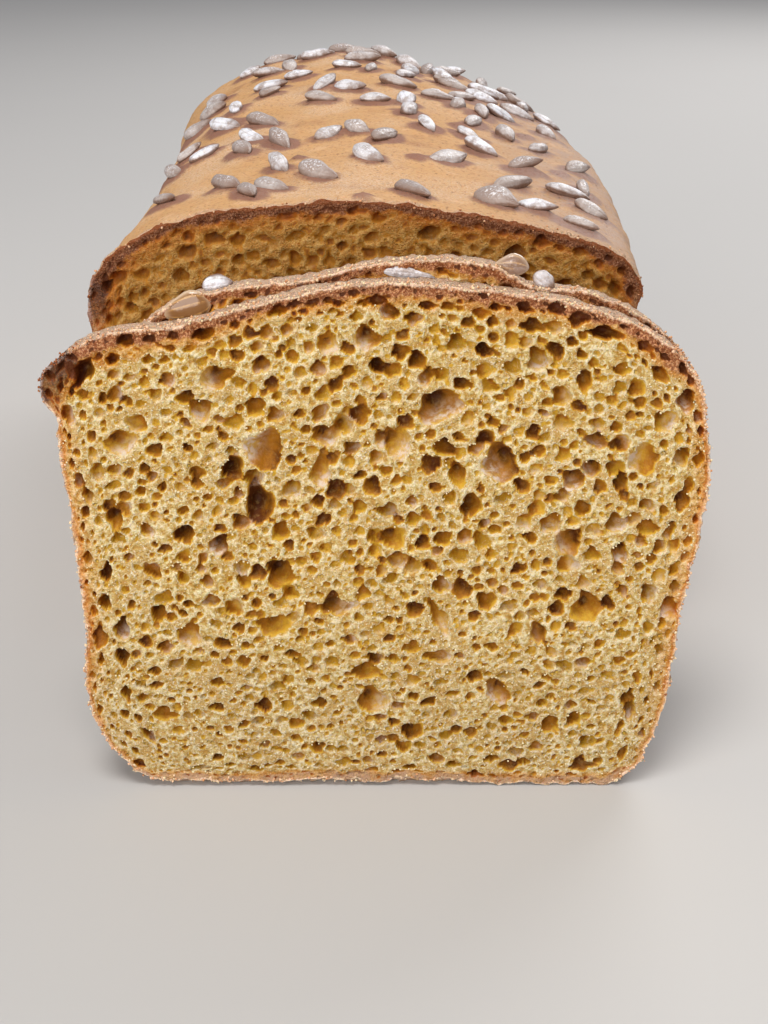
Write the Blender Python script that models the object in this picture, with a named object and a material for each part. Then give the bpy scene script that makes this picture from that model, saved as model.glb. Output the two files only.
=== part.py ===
"""The rest of a tin loaf of spelt bread, with two slices standing upright in front of its cut end.

X runs across the loaf, Y along it, from the front slice to the uncut end, and Z up. The origin
lies on the ground, under the middle of the whole. The sizes below are in millimetres, and MM
turns them into Blender's metres where a mesh is made.
"""

import math
import random
from collections import namedtuple

import bmesh
import bpy
from mathutils import Matrix, Vector, geometry, noise
from mathutils.bvhtree import BVHTree

MM = 0.001

# ---- driving dimensions -------------------------------------------------------------------

WHOLE_LENGTH = 272.0  # from the front slice's face to the loaf's uncut end
SLICE_THICKNESS = 7.0
SLICE_LEAN = 6.0  # degrees that the slices lean back towards the loaf
SLICE_GAP = 0.6  # between the two slices
LOAF_GAP = 42.3  # between the second slice's foot and the loaf's cut face
CORNER_RADIUS = 12.0  # the tin's bottom corners
CORNER_SQUEEZE = 0.86  # they reach less far across than up
CORNER_ARC = 54.0  # degrees of their arc, from the flat bottom to where the wall starts
WALL_TOP = 55.0  # where the tin's walls end and the dome's own changes along the loaf begin
DOME_HEIGHT = 45.0  # from there to the dome's crown
HALF_WIDTH = 55.0  # roughly, of the loaf
RISE = 5.4  # how much higher the loaf's dome stands towards its uncut end than at its cut face
RISE_SHARE = 0.85  # the share of the loaf's straight length over which it rises
SHOULDER_FALL = 3.0  # how much lower its shoulders stand there
BOW = 4.0  # how far the loaf bends to the right, most at its middle
BOW_WAVES = 0.575  # how much of a whole wave the bend runs through
END_ROUND_TOP = 26.0  # how far the dome falls back at the uncut end
END_ROUND_WALL = 13.0  # how far the walls do
END_NARROWING = 0.32  # share of the width that the uncut end loses
END_DROP = (5.0, 16.0)  # how far the end's edge drops at the walls, and how much more at the crown
TOP_LUMPS = 1.1  # height of the dough's own unevenness on the dome
WALL_LUMPS = 0.35
LUMP_SPREAD = (26.0, 30.0, 34.0)  # how far apart the lumps lie
LUMPS_FADE = (20.0, 25.0)  # they fade out over this height at the bottom, and length at the cut

FRONT_Y = -WHOLE_LENGTH / 2
SECOND_Y = FRONT_Y + (SLICE_THICKNESS + SLICE_GAP) / math.cos(math.radians(SLICE_LEAN))
LOAF_Y = SECOND_Y + SLICE_THICKNESS + LOAF_GAP
LOAF_LENGTH = WHOLE_LENGTH / 2 - LOAF_Y

KERNEL_LENGTH = 10.0  # a sunflower kernel
KERNEL_WIDTH = 4.8
KERNEL_THICKNESS = 3.0
KERNEL_SIZES = (0.80, 1.12)  # the smallest and the largest, as shares of these
KERNEL_SUNK = 0.2  # how deep its middle lies under the crust
KERNELS_SCATTERED = 46
KERNEL_SPACING = 7.6
SCATTER_START = 108.0  # how far behind the cut face the scattered kernels begin
SCATTER_SIDES = (-49.0, 51.0)
KERNEL_SEED = 31

HOLE_WIDTHS = (3.2, 6.4)  # of the holes scattered on the faces that don't show from the front
HOLE_FLATNESS = (0.6, 1.15)  # their height, as a share of the width
HOLE_DEPTHS = (1.8, 2.8)
HOLE_TURN = 30.0
HOLE_SPACING = 9.5
RIM_WALL = 2.2  # crumb kept between a scattered hole and the crust
MOST_TRIES = 6000  # at a random place, before a rule gives up

# One section across the bread: the flat bottom's half-widths, then the places that each side
# passes, from the tin's wall up over the lip to the dome, and the dome's highest point.
Section = namedtuple("Section", "foot left right crown")

FRONT = Section(
    foot=(39.0, 42.0),
    left=((-52.9, 14), (-53.9, 36), (-56.2, 63), (-57.3, 71.5), (-59.2, 77.0), (-56.4, 82.6),
          (-49.6, 87.0), (-34.5, 89.2), (-20.4, 93.1)),
    right=((53.7, 14), (56.8, 37), (60.0, 65), (58.8, 73.5), (57.0, 79.6), (53.2, 84.4),
           (47.6, 88.3), (36.3, 92.5), (22.0, 95.0)),
    crown=(-2.6, 96.3),
)
SECOND = Section(
    foot=(39.0, 42.0),
    left=((-52.8, 14), (-53.8, 36), (-55.2, 60), (-55.6, 75), (-52.8, 80.2), (-44.0, 85.4),
          (-36.8, 90.6), (-26.0, 93.7), (-14.6, 94.9)),
    right=((53.4, 14), (56.4, 37), (59.2, 62), (59.2, 74.5), (55.8, 81.6), (48.4, 88.3),
           (38.0, 92.8), (28.6, 94.0), (21.0, 97.5)),
    crown=(4.0, 98.5),
)
LOAF = Section(
    foot=(40.0, 41.0),
    left=((-52.6, 15), (-54.0, 37), (-57.6, 62), (-58.6, 74), (-58.4, 82.6), (-56.0, 86.8),
          (-49.6, 92.0), (-37.6, 97.1), (-21.0, 99.2)),
    right=((52.6, 15), (53.4, 38), (54.0, 64), (53.2, 75), (54.6, 82), (52.8, 86.4),
           (46.6, 90.6), (35.0, 94.2), (18.0, 97.8)),
    crown=(-4.0, 100.4),
)

# A cut face: where its foot stands, how far it leans back in degrees, and 1 where the crumb
# lies behind it or -1 where it lies in front.
Face = namedtuple("Face", "y lean into")

# Holes in the crumb of the front face: across, up, width, height, depth, turn in degrees.
Hole = namedtuple("Hole", "x z wide high deep turn")
SHOWN_HOLES = [
    Hole(*sizes)
    for sizes in (
        (-20.9, 56.6, 6.0, 7.6, 3.4, 10), (-25.5, 63.2, 4.4, 4.9, 3.2, 0),
        (-20.1, 66.7, 8.0, 7.6, 3.0, 0), (11.5, 74.5, 8.8, 6.4, 3.4, 20),
        (22.3, 64.0, 6.4, 8.4, 3.2, 15), (-1.6, 86.7, 4.5, 5.2, 2.6, 0),
        (19.2, 84.6, 3.8, 2.8, 2.8, 0), (40.4, 87.6, 6.6, 3.2, 3.2, -8),
        (0.5, 81.9, 3.6, 3.0, 3.2, 0), (3.3, 50.1, 6.0, 4.6, 2.6, 0),
        (-7.1, 36.6, 9.2, 3.7, 2.6, 4), (-17.5, 42.9, 5.5, 5.9, 3.4, 0),
        (-18.7, 32.8, 6.6, 4.8, 2.4, 0), (-34.5, 30.9, 5.2, 4.8, 2.4, 0),
        (-40.2, 35.3, 3.2, 3.8, 2.8, 0), (-31.1, 73.9, 4.4, 4.4, 2.8, 0),
        (-28.4, 79.7, 7.0, 4.4, 2.4, 12), (-45.4, 67.9, 6.2, 5.2, 2.2, 0),
        (-47.3, 53.6, 3.2, 4.6, 2.6, 0), (38.9, 36.0, 5.9, 6.8, 2.6, 10),
        (35.0, 49.0, 5.8, 5.4, 2.4, 0), (44.7, 46.8, 3.2, 5.2, 2.6, 0),
        (49.4, 51.7, 4.0, 3.5, 2.2, 30), (20.5, 37.7, 3.9, 4.1, 2.6, 0),
        (35.6, 60.8, 4.5, 4.5, 2.6, 0), (44.3, 60.2, 3.0, 4.2, 3.0, 10),
        (48.1, 64.7, 6.1, 5.6, 2.2, 0), (39.5, 68.1, 4.8, 3.2, 2.6, -10),
        (12.3, 49.8, 3.4, 3.4, 2.6, 0), (-0.4, 17.8, 6.2, 5.6, 2.4, 0),
        (-1.7, 23.7, 6.0, 3.8, 2.6, 8), (30.1, 31.3, 3.4, 4.5, 2.4, 15),
        (11.9, 26.6, 6.9, 3.1, 2.4, -6), (22.8, 19.4, 4.4, 6.2, 2.2, 35),
        (7.0, 11.5, 4.8, 3.8, 2.4, 0), (33.0, 12.6, 3.8, 3.8, 2.2, 0),
        (-40.0, 15.0, 5.3, 3.1, 2.0, 0), (11.9, 33.9, 3.7, 7.8, 2.2, 25),
        (-8.7, 69.3, 5.2, 4.6, 2.6, 0), (-9.8, 62.4, 4.3, 6.2, 2.2, 0),
        (14.8, 61.8, 3.6, 5.2, 2.6, 10), (37.0, 79.0, 3.2, 4.3, 2.6, 10),
        (3.9, 67.8, 5.2, 7.0, 2.4, 10), (-51.4, 79.6, 3.6, 7.4, 3.4, -30),
        (27.7, 88.8, 5.0, 2.8, 2.4, -12),
    )
]

# Kernels that can be told apart on the dome: across the loaf, along it from the cut face, and
# turn from straight across, in degrees.
Kernel = namedtuple("Kernel", "x along turn size")
SHOWN_KERNELS = [
    Kernel(*place)
    for place in (
        (-31.4, 21, -50, 1.0), (-26.0, 12, -74, 0.9), (-21.0, 34, -70, 1.05), (-21.6, 17, -40, 0.9),
        (-22.4, 64, -66, 1.05), (-31.0, 58, -66, 0.9), (-29.6, 71, -47, 0.85), (-41.2, 71, 39, 0.9),
        (-46.0, 82, 31, 0.8), (-48.6, 72, -55, 0.9), (-38.2, 96, -42, 1.1), (-28.0, 88, -41, 1.1),
        (-45.6, 28, -43, 0.8), (-12.0, 25, -42, 1.05), (-1.2, 40, -58, 1.12), (2.5, 60, 58, 1.0),
        (-4.0, 68, -50, 0.9), (-11.0, 67, 48, 0.9), (7.8, 11, -56, 1.15), (9.0, 92, 70, 0.9),
        (0.2, 106, 0, 0.8), (8.2, 106, -76, 0.9), (12.8, 76, -70, 0.9), (33.0, 86, -76, 1.0),
        (27.8, 105, -80, 0.9), (25.4, 93, 64, 0.85), (23.0, 76, -49, 0.8), (16.6, 46, 38, 1.1),
        (25.2, 62, -43, 1.0), (30.4, 32, 40, 1.12), (25.4, 14, -44, 1.15), (34.2, 14, -20, 0.85),
        (42.9, 36, -12, 1.0), (49.0, 67, 41, 0.85), (47.6, 45, -80, 0.8), (45.2, 104, -60, 0.85),
        (40.4, 78, 54, 0.8), (47.0, 27, -16, 0.8), (42.6, 9, -29, 0.8), (34.8, 50, 10, 0.8),
    )
]

# Kernels that stand upright in the second slice's top crust, where the knife went past them:
# across, up and behind the cut face, length, height and turn in degrees.
EdgeKernel = namedtuple("EdgeKernel", "x z depth long high turn")
EDGE_KERNELS = [
    EdgeKernel(*place)
    for place in (
        (-33.9, 89.8, 1.3, 9.4, 5.0, 194), (-28.3, 93.9, 3.0, 5.8, 3.2, 8),
        (24.3, 97.3, 1.6, 6.0, 3.6, -5), (30.3, 94.6, 1.7, 4.6, 3.4, -35),
    )
]

CRUST_COLOR = (0.70, 0.40, 0.17)
CRUMB_COLOR = (0.58, 0.33, 0.07)


# ---- curves and sections ------------------------------------------------------------------


def spline(points, steps):
    """A smooth run through the points, with as many steps between each two as steps says."""
    run = []
    for i, count in enumerate(steps):
        before = points[max(i - 1, 0)]
        here, there = points[i], points[i + 1]
        after = points[min(i + 2, len(points) - 1)]
        chord = (there - here).length
        leave = tangent(before, here, there) * chord
        arrive = tangent(here, there, after) * chord
        for k in range(count):
            t = k / count
            run.append(
                here * (2 * t**3 - 3 * t**2 + 1) + leave * (t**3 - 2 * t**2 + t)
                + there * (3 * t**2 - 2 * t**3) + arrive * (t**3 - t**2)
            )
    return run


def tangent(before, here, after):
    """The direction of a smooth curve at its middle one of three points."""
    come, go = here - before, after - here
    if come.length == 0 or go.length == 0:
        return (come + go).normalized()
    return (come / come.length**2 + go / go.length**2).normalized()


def corner(foot, side):
    """The rounded bottom corner, from the flat bottom to where the wall starts."""
    steps = 3
    return [
        Vector((
            side * (foot + CORNER_RADIUS * CORNER_SQUEEZE * math.sin(arc)),
            CORNER_RADIUS * (1 - math.cos(arc)),
        ))
        for arc in (math.radians(CORNER_ARC * k / steps) for k in range(steps + 1))
    ]


def outline(section):
    """The ring of points round a section, from the middle of the bottom and up its right side."""
    flat_steps, wall_steps = 4, [2, 3, 3, 1, 2, 2, 2, 2, 3, 4]
    foot_left, foot_right = section.foot
    right, left = corner(foot_right, 1), corner(foot_left, -1)
    over = [right[-1], *map(Vector, section.right), Vector(section.crown)]
    over += [*map(Vector, section.left[::-1]), left[-1]]
    floor = [
        Vector((-foot_left + (foot_left + foot_right) * k / flat_steps, 0.0))
        for k in range(1, flat_steps)
    ]
    return floor + right[:-1] + spline(over, wall_steps + wall_steps[::-1]) + left[::-1]


def distance_inside(ring, x, z):
    """How far a place lies inside a ring, or a negative number where it lies outside."""
    place, inside, nearest = Vector((x, z)), False, math.inf
    for a, b in zip(ring, ring[1:] + ring[:1]):
        foot, share = geometry.intersect_point_line(place, a, b)
        share = min(max(share, 0.0), 1.0)
        nearest = min(nearest, (a + (b - a) * share - place).length)
        if (a.y > z) != (b.y > z) and x < a.x + (b.x - a.x) * (z - a.y) / (b.y - a.y):
            inside = not inside
    return nearest if inside else -nearest


# ---- solids -------------------------------------------------------------------------------


def loft(name, rings, material, collection):
    """A closed solid through rings of the same number of points."""
    bm = bmesh.new()
    rows = [[bm.verts.new(p * MM) for p in ring] for ring in rings]
    for near, far in zip(rows, rows[1:]):
        for i in range(len(near)):
            j = (i + 1) % len(near)
            bm.faces.new((near[i], near[j], far[j], far[i]))
    bm.faces.new(rows[0][::-1])
    bm.faces.new(rows[-1])
    bmesh.ops.recalc_face_normals(bm, faces=bm.faces)
    bmesh.ops.triangulate(bm, faces=bm.faces)
    return finished(name, bm, material, collection)


def finished(name, bm, material, collection):
    """The object that a bmesh becomes."""
    mesh = bpy.data.meshes.new(name)
    bm.to_mesh(mesh)
    bm.free()
    mesh.materials.append(material)
    body = bpy.data.objects.new(name, mesh)
    collection.objects.link(body)
    return body


def leaned(x, depth, up, foot_y):
    """A place in a leaning slice, from how far it lies behind the slice's face and up that face."""
    lean = math.radians(SLICE_LEAN)
    y = foot_y + depth * math.cos(lean) + up * math.sin(lean)
    return Vector((x, y, max(up * math.cos(lean) - depth * math.sin(lean), 0.0)))


def slice_rings(foot_y, section):
    """A slice's front, middle and back ring."""
    return [
        [leaned(p.x, SLICE_THICKNESS * share, p.y, foot_y) for p in outline(section)]
        for share in (0.0, 0.5, 1.0)
    ]


def lump(x, y, z):
    """How far the dough stands out at a place: more on the dome than on the tin's walls."""
    lip, above_lip, shift = 80, 12, 3
    size = WALL_LUMPS + (TOP_LUMPS - WALL_LUMPS) * min(max((z - lip) / above_lip, 0), 1)
    across, along, up = LUMP_SPREAD
    return size * noise.noise(Vector((x / across, y / along, z / up + shift)))


def loaf_rings():
    """Rings along the loaf: straight walls, a dome that rises to the back, and a rounded end."""
    base = outline(LOAF)
    body_steps, end_turns = 12, (0, 18, 36, 54, 72)
    body_length = LOAF_LENGTH - END_ROUND_TOP
    rings = [loaf_ring(base, body_length * k / body_steps, 0.0) for k in range(body_steps)]
    return rings + [loaf_ring(base, body_length, math.radians(turn)) for turn in end_turns]


def loaf_ring(base, along, turn):
    """One ring of the loaf: at a place along its body, or at a turn round its uncut end."""
    share = along / (LOAF_LENGTH - END_ROUND_TOP)
    end = 1 - math.cos(turn)
    bow = BOW * math.sin(math.tau * BOW_WAVES * share)
    wall_drop, crown_drop = END_DROP
    ring = []
    for p in base:
        high = min(max((p.y - WALL_TOP) / DOME_HEIGHT, 0), 1)
        reach = END_ROUND_WALL + (END_ROUND_TOP - END_ROUND_WALL) * high
        x = p.x * (1 - END_NARROWING * end) + bow
        y = along + smooth(share) * (END_ROUND_TOP - reach) + reach * math.sin(turn)
        lift = RISE * smooth(share / RISE_SHARE) * high**2
        slump = SHOULDER_FALL * smooth(2 * share - 1) * high * (p.x / HALF_WIDTH) ** 2
        fall = end * (wall_drop + crown_drop * high) * min(p.y / WALL_TOP, 1)
        z = max(p.y + lift - slump - fall, 0.0)
        out = Vector((p.x, 0, max(p.y - WALL_TOP, 0))).normalized()
        fade = min(p.y / LUMPS_FADE[0], 1) * min(along / LUMPS_FADE[1], 1)
        ring.append(Vector((x, y + LOAF_Y, z)) + out * lump(x, y, p.y) * fade)
    return ring


def smooth(t):
    """A share that starts and ends gently."""
    t = min(max(t, 0.0), 1.0)
    return t * t * (3 - 2 * t)


# ---- holes in the crumb -------------------------------------------------------------------


def on_face(face, x, z, depth, turn):
    """The move from the middle of things to a place on a cut face, turned in that face."""
    lean = Matrix.Rotation(math.radians(-face.lean), 4, "X")
    spot = Matrix.Translation((x, depth * face.into, z))
    foot = Matrix.Translation((0, face.y, 0))
    return Matrix.Scale(MM, 4) @ foot @ lean @ spot @ Matrix.Rotation(math.radians(-turn), 4, "Y")


def hole_cutter(hole, face, rng, cutters):
    """A lopsided ball whose middle lies on a cut face."""
    sides, rounds, lopsided = 7, 5, 0.12
    bm = bmesh.new()
    bmesh.ops.create_uvsphere(bm, u_segments=sides, v_segments=rounds, radius=1.0)
    for vert in bm.verts:
        vert.co.x *= 1 + rng.uniform(-lopsided, lopsided)
        vert.co.y *= 1 + rng.uniform(-lopsided, lopsided)
    lay = Matrix.Rotation(math.radians(90 * face.into), 4, "X")
    size = Matrix.Diagonal((hole.wide / 2, hole.deep, hole.high / 2, 1))
    place = on_face(face, hole.x, hole.z, 0.0, hole.turn)
    bmesh.ops.transform(bm, matrix=place @ size @ lay, verts=bm.verts)
    bmesh.ops.recalc_face_normals(bm, faces=bm.faces)
    cutter = finished("hole", bm, cutters["material"], cutters["collection"])
    cutter.hide_render = True
    cutter.display_type = "WIRE"


def scattered_holes(seed, ring, count):
    """Holes of uneven size at random over a face, none near another or through the crust."""
    rng = random.Random(seed)
    half_width, top = max(abs(p.x) for p in ring), max(p.y for p in ring)
    holes, tries = [], 0
    while len(holes) < count and tries < MOST_TRIES:
        tries += 1
        x, z = rng.uniform(-half_width, half_width), rng.uniform(0, top)
        wide = rng.uniform(*HOLE_WIDTHS)
        high = wide * rng.uniform(*HOLE_FLATNESS)
        hole = Hole(x, z, wide, high, rng.uniform(*HOLE_DEPTHS), rng.uniform(-HOLE_TURN, HOLE_TURN))
        clear = all(math.hypot(hole.x - h.x, hole.z - h.z) > HOLE_SPACING for h in holes)
        if clear and distance_inside(ring, hole.x, hole.z) > max(wide, high) / 2 + RIM_WALL:
            holes.append(hole)
    return holes


def join_shapes(body, shapes, operation, solver):
    """Cuts the shapes of a collection from a body or joins them to it, and removes them."""
    change = body.modifiers.new("shapes", "BOOLEAN")
    change.operation = operation
    change.operand_type = "COLLECTION"
    change.collection = shapes
    change.solver = solver
    bpy.context.view_layer.update()
    graph = bpy.context.evaluated_depsgraph_get()
    mesh = bpy.data.meshes.new_from_object(body.evaluated_get(graph))
    body.modifiers.clear()
    body.data = mesh
    for shape in list(shapes.objects):
        bpy.data.objects.remove(shape)
    bm = bmesh.new()
    bm.from_mesh(mesh)
    bmesh.ops.remove_doubles(bm, verts=bm.verts, dist=0.02 * MM)
    bmesh.ops.dissolve_degenerate(bm, edges=bm.edges, dist=0.02 * MM)
    bmesh.ops.triangulate(bm, faces=bm.faces)
    bm.to_mesh(mesh)
    bm.free()


def carve(body, face, holes, cutters):
    """Sinks holes into one cut face of a body."""
    rng = random.Random(len(holes))
    for hole in holes:
        hole_cutter(hole, face, rng, cutters)
    join_shapes(body, cutters["collection"], "DIFFERENCE", "EXACT")


# ---- kernels on the crust -----------------------------------------------------------------


def surface_of(body):
    """A tree that finds where a line from above meets a body."""
    bpy.context.view_layer.update()
    return BVHTree.FromObject(body, bpy.context.evaluated_depsgraph_get())


def kernel_shape():
    """A kernel one unit long, wide and thick, pointed at one end of its length, which is X."""
    sides, rounds, taper = 6, 4, 0.7
    bm = bmesh.new()
    bmesh.ops.create_uvsphere(bm, u_segments=sides, v_segments=rounds, radius=0.5)
    for vert in bm.verts:
        vert.co.xy *= 1 - taper * vert.co.z
    bmesh.ops.rotate(bm, matrix=Matrix.Rotation(math.radians(90), 3, "Y"), verts=bm.verts)
    return bm


def lay_kernel(kernel, surface, shapes):
    """A kernel that lies pressed into the crust under its place."""
    well_above = 200
    above = Vector((kernel.x, LOAF_Y + kernel.along, well_above)) * MM
    spot, normal, _, _ = surface.ray_cast(above, Vector((0, 0, -1)))
    across = Vector((math.cos(math.radians(kernel.turn)), math.sin(math.radians(kernel.turn)), 0))
    across = (across - normal * across.dot(normal)).normalized()
    turn = Matrix((across, normal.cross(across), normal)).transposed().to_4x4()
    size = Vector((KERNEL_LENGTH, KERNEL_WIDTH, KERNEL_THICKNESS)) * kernel.size
    shape = Matrix.Diagonal((*size, 1))
    place = Matrix.Translation(spot - normal * KERNEL_SUNK * MM)
    bm = kernel_shape()
    bmesh.ops.transform(bm, matrix=place @ turn @ Matrix.Scale(MM, 4) @ shape, verts=bm.verts)
    bmesh.ops.recalc_face_normals(bm, faces=bm.faces)
    finished("kernel", bm, shapes["material"], shapes["collection"])


def stand_kernel(kernel, face, shapes):
    """A kernel that stands on edge in a slice's top crust, its flat side to the cut face."""
    bm = kernel_shape()
    shape = Matrix.Diagonal((kernel.long, KERNEL_THICKNESS, kernel.high, 1))
    place = on_face(face, kernel.x, kernel.z, kernel.depth, kernel.turn)
    bmesh.ops.transform(bm, matrix=place @ shape, verts=bm.verts)
    bmesh.ops.recalc_face_normals(bm, faces=bm.faces)
    finished("kernel", bm, shapes["material"], shapes["collection"])


def scattered_kernels():
    """Kernels at random on the far part of the dome, thicker towards its right side."""
    rng = random.Random(KERNEL_SEED)
    least_chance, thin_side, thick_side = 0.35, -25, 25
    half_width, end_half_width, end_length = 50, 28, 45
    kernels, tries = [], 0
    while len(kernels) < KERNELS_SCATTERED and tries < MOST_TRIES:
        tries += 1
        x = rng.uniform(*SCATTER_SIDES)
        along = rng.uniform(SCATTER_START, LOAF_LENGTH - END_ROUND_TOP / 2)
        kernel = Kernel(x, along, rng.uniform(-90, 90), rng.uniform(*KERNEL_SIZES))
        share = smooth((x - thin_side) / (thick_side - thin_side))
        keep = rng.random() < least_chance + (1 - least_chance) * share
        near = any(
            math.hypot(x - k.x, along - k.along) < KERNEL_SPACING for k in SHOWN_KERNELS + kernels
        )
        to_end = smooth((along - LOAF_LENGTH + end_length) / end_length)
        if keep and not near and abs(x) < half_width + (end_half_width - half_width) * to_end:
            kernels.append(kernel)
    return kernels


# ---- the whole ----------------------------------------------------------------------------


def plain_material(name, color, roughness):
    material = bpy.data.materials.new(name)
    material.use_nodes = True
    shader = material.node_tree.nodes["Principled BSDF"]
    shader.inputs["Base Color"].default_value = (*color, 1.0)
    shader.inputs["Roughness"].default_value = roughness
    return material


def new_collection(name):
    collection = bpy.data.collections.new(name)
    bpy.context.scene.collection.children.link(collection)
    return collection


def shade(body):
    """Smooth shading that keeps the cut edges crisp."""
    body.data.shade_smooth()
    body.data.set_sharp_from_angle(angle=math.radians(40))


def slice_faces(foot_y):
    """The two cut faces of a slice."""
    back_y = foot_y + SLICE_THICKNESS / math.cos(math.radians(SLICE_LEAN))
    return Face(foot_y, SLICE_LEAN, 1), Face(back_y, SLICE_LEAN, -1)


def make_front_slice(material, bread, cutters):
    body = loft("slice_front", slice_rings(FRONT_Y, FRONT), material, bread)
    front, back = slice_faces(FRONT_Y)
    carve(body, front, SHOWN_HOLES, cutters)
    carve(body, back, scattered_holes(11, outline(FRONT), 8), cutters)
    return body


def make_second_slice(material, bread, cutters, kernels):
    body = loft("slice_second", slice_rings(SECOND_Y, SECOND), material, bread)
    front, back = slice_faces(SECOND_Y)
    carve(body, front, scattered_holes(12, outline(SECOND), 8), cutters)
    carve(body, back, scattered_holes(13, outline(SECOND), 18), cutters)
    for kernel in EDGE_KERNELS:
        stand_kernel(kernel, front, kernels)
    join_shapes(body, kernels["collection"], "UNION", "MANIFOLD")
    return body


def make_loaf(material, bread, cutters, kernels):
    body = loft("loaf", loaf_rings(), material, bread)
    carve(body, Face(LOAF_Y, 0.0, 1), scattered_holes(14, outline(LOAF), 26), cutters)
    surface = surface_of(body)
    for kernel in SHOWN_KERNELS + scattered_kernels():
        lay_kernel(kernel, surface, kernels)
    join_shapes(body, kernels["collection"], "UNION", "MANIFOLD")
    return body


def main():
    for old in list(bpy.data.objects):
        bpy.data.objects.remove(old)
    crust = plain_material("crust", CRUST_COLOR, 0.8)
    crumb = plain_material("crumb", CRUMB_COLOR, 0.6)
    bread = new_collection("spelt_bread")
    cutters = {"collection": new_collection("hole_cutters"), "material": crumb}
    kernels = {"collection": new_collection("kernels_to_fuse"), "material": crust}
    shade(make_front_slice(crumb, bread, cutters))
    shade(make_second_slice(crumb, bread, cutters, kernels))
    shade(make_loaf(crust, bread, cutters, kernels))


main()
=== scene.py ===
"""The looks of a tin loaf of spelt bread with two slices standing in front of its cut end.

Sizes are in millimetres, in the bread's own frame: X across, Y along, from the front slice to the
uncut end, and Z up. MM turns them into Blender's metres where a mesh is made.
"""

import math
import random
from collections import namedtuple

import bmesh
import bpy
import numpy as np
from mathutils import Matrix, Vector, kdtree, noise
from mathutils.bvhtree import BVHTree


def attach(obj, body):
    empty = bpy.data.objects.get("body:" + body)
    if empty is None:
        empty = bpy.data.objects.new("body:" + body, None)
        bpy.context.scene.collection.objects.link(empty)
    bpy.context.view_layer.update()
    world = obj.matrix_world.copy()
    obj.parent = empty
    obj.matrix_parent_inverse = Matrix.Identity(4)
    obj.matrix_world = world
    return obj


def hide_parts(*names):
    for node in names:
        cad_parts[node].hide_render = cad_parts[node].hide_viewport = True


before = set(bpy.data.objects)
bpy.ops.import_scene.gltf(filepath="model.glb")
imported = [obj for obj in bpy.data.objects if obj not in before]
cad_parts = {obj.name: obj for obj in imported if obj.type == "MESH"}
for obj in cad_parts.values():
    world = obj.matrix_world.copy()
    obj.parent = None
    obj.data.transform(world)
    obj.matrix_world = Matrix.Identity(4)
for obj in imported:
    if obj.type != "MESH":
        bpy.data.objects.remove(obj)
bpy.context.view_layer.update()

bl_info = {
    "name": "Spelt bread",
    "version": (1, 0, 0),
    "blender": (4, 5, 0),
    "location": "3D View > Sidebar > Bread",
    "description": "Dresses a sliced tin loaf of spelt bread: crumb, crust and kernels",
    "category": "Object",
}

MM = 0.001
TINY = 1e-6  # less than any real length or share

# ---- the bread's driving dimensions -------------------------------------------------------

WHOLE_LENGTH = 272.0  # from the front slice's face to the loaf's uncut end
SLICE_THICKNESS = 7.0
SLICE_LEAN = 6.0  # degrees that the slices lean back towards the loaf
SLICE_GAP = 0.6  # between the two slices
LOAF_GAP = 42.3  # between the second slice's foot and the loaf's cut face
CORNER_RADIUS = 12.0  # the tin's bottom corners
CORNER_SQUEEZE = 0.86  # they reach less far across than up
CORNER_ARC = 54.0  # degrees of their arc, from the flat bottom to where the wall starts
WALL_TOP = 55.0  # where the dome's own changes along the loaf begin
DOME_HEIGHT = 45.0  # from there to the dome's crown
HALF_WIDTH = 55.0  # roughly, of the loaf
MIDDLE_UP = 45.0  # the height that a slice's crust lies round, and moves out from
RISE = 5.4  # how much higher the dome stands towards the uncut end than at the cut face
RISE_SHARE = 0.85  # the share of the loaf's straight length over which it rises
SHOULDER_FALL = 3.0  # how much lower its shoulders stand there
BOW = 4.0  # how far the loaf bends to the right
BOW_WAVES = 0.575  # how much of a whole wave the bend runs through
END_ROUND_TOP = 26.0  # how far the dome falls back at the uncut end
END_ROUND_WALL = 13.0  # how far the walls do
END_NARROWING = 0.32  # share of the width that the uncut end loses
END_DROP = (5.0, 16.0)  # how far the end's edge drops at the walls, and how much more on top
END_TURN = 72.0  # degrees through which the crust turns at the end
TOP_LUMPS = 1.1  # height of the dough's own unevenness on the dome
WALL_LUMPS = 0.35
LUMP_SPREAD = (26.0, 30.0, 34.0)  # how far apart the lumps lie
LUMPS_FADE = (20.0, 25.0)  # they fade over this height at the bottom, and length at the cut

FRONT_Y = -WHOLE_LENGTH / 2
SECOND_Y = FRONT_Y + (SLICE_THICKNESS + SLICE_GAP) / math.cos(math.radians(SLICE_LEAN))
LOAF_Y = SECOND_Y + SLICE_THICKNESS + LOAF_GAP
LOAF_LENGTH = WHOLE_LENGTH / 2 - LOAF_Y
BODY_LENGTH = LOAF_LENGTH - END_ROUND_TOP

KERNEL_THICKNESS = 3.4
KERNEL_SIZES = (0.80, 1.12)  # the smallest and the largest, as shares
KERNEL_RAISED = 0.5  # how far its middle stands out of the crust
KERNEL_MOUND = 0.7  # how far the crust is raised below it
KERNELS_SCATTERED = 46
KERNEL_SPACING = 7.6
SCATTER_START = 108.0  # how far behind the cut face the scattered kernels begin
SCATTER_SIDES = (-49.0, 51.0)
MOST_TRIES = 6000  # at a random place, before a rule gives up

# Lengths across and up that the cells of a face are counted along.
SLICE_SPAN = (118.0, 85.0)
LOAF_SPAN = (112.0, 88.0)
FACE_AREA = 112.0 * 95.0  # roughly, of a cut face
PLAIN_CELLS = (70, 52)  # across and up, on a face that lies against another

# Seeds of the random draws.
FRONT_SEEDS = (21, 22)  # pores of the slice's front and back
SECOND_SEEDS = (23, 24)
LOAF_SEED = 25
SCATTER_SEED = 31  # where the far kernels lie
KERNEL_SEED = 41
EDGE_KERNEL_SEED = 42
STAIN_SEED = 43
EDGE_CRUMB_SEED = 44
FACE_CRUMB_SEED = 45

Section = namedtuple("Section", "foot left right crown")

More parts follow.
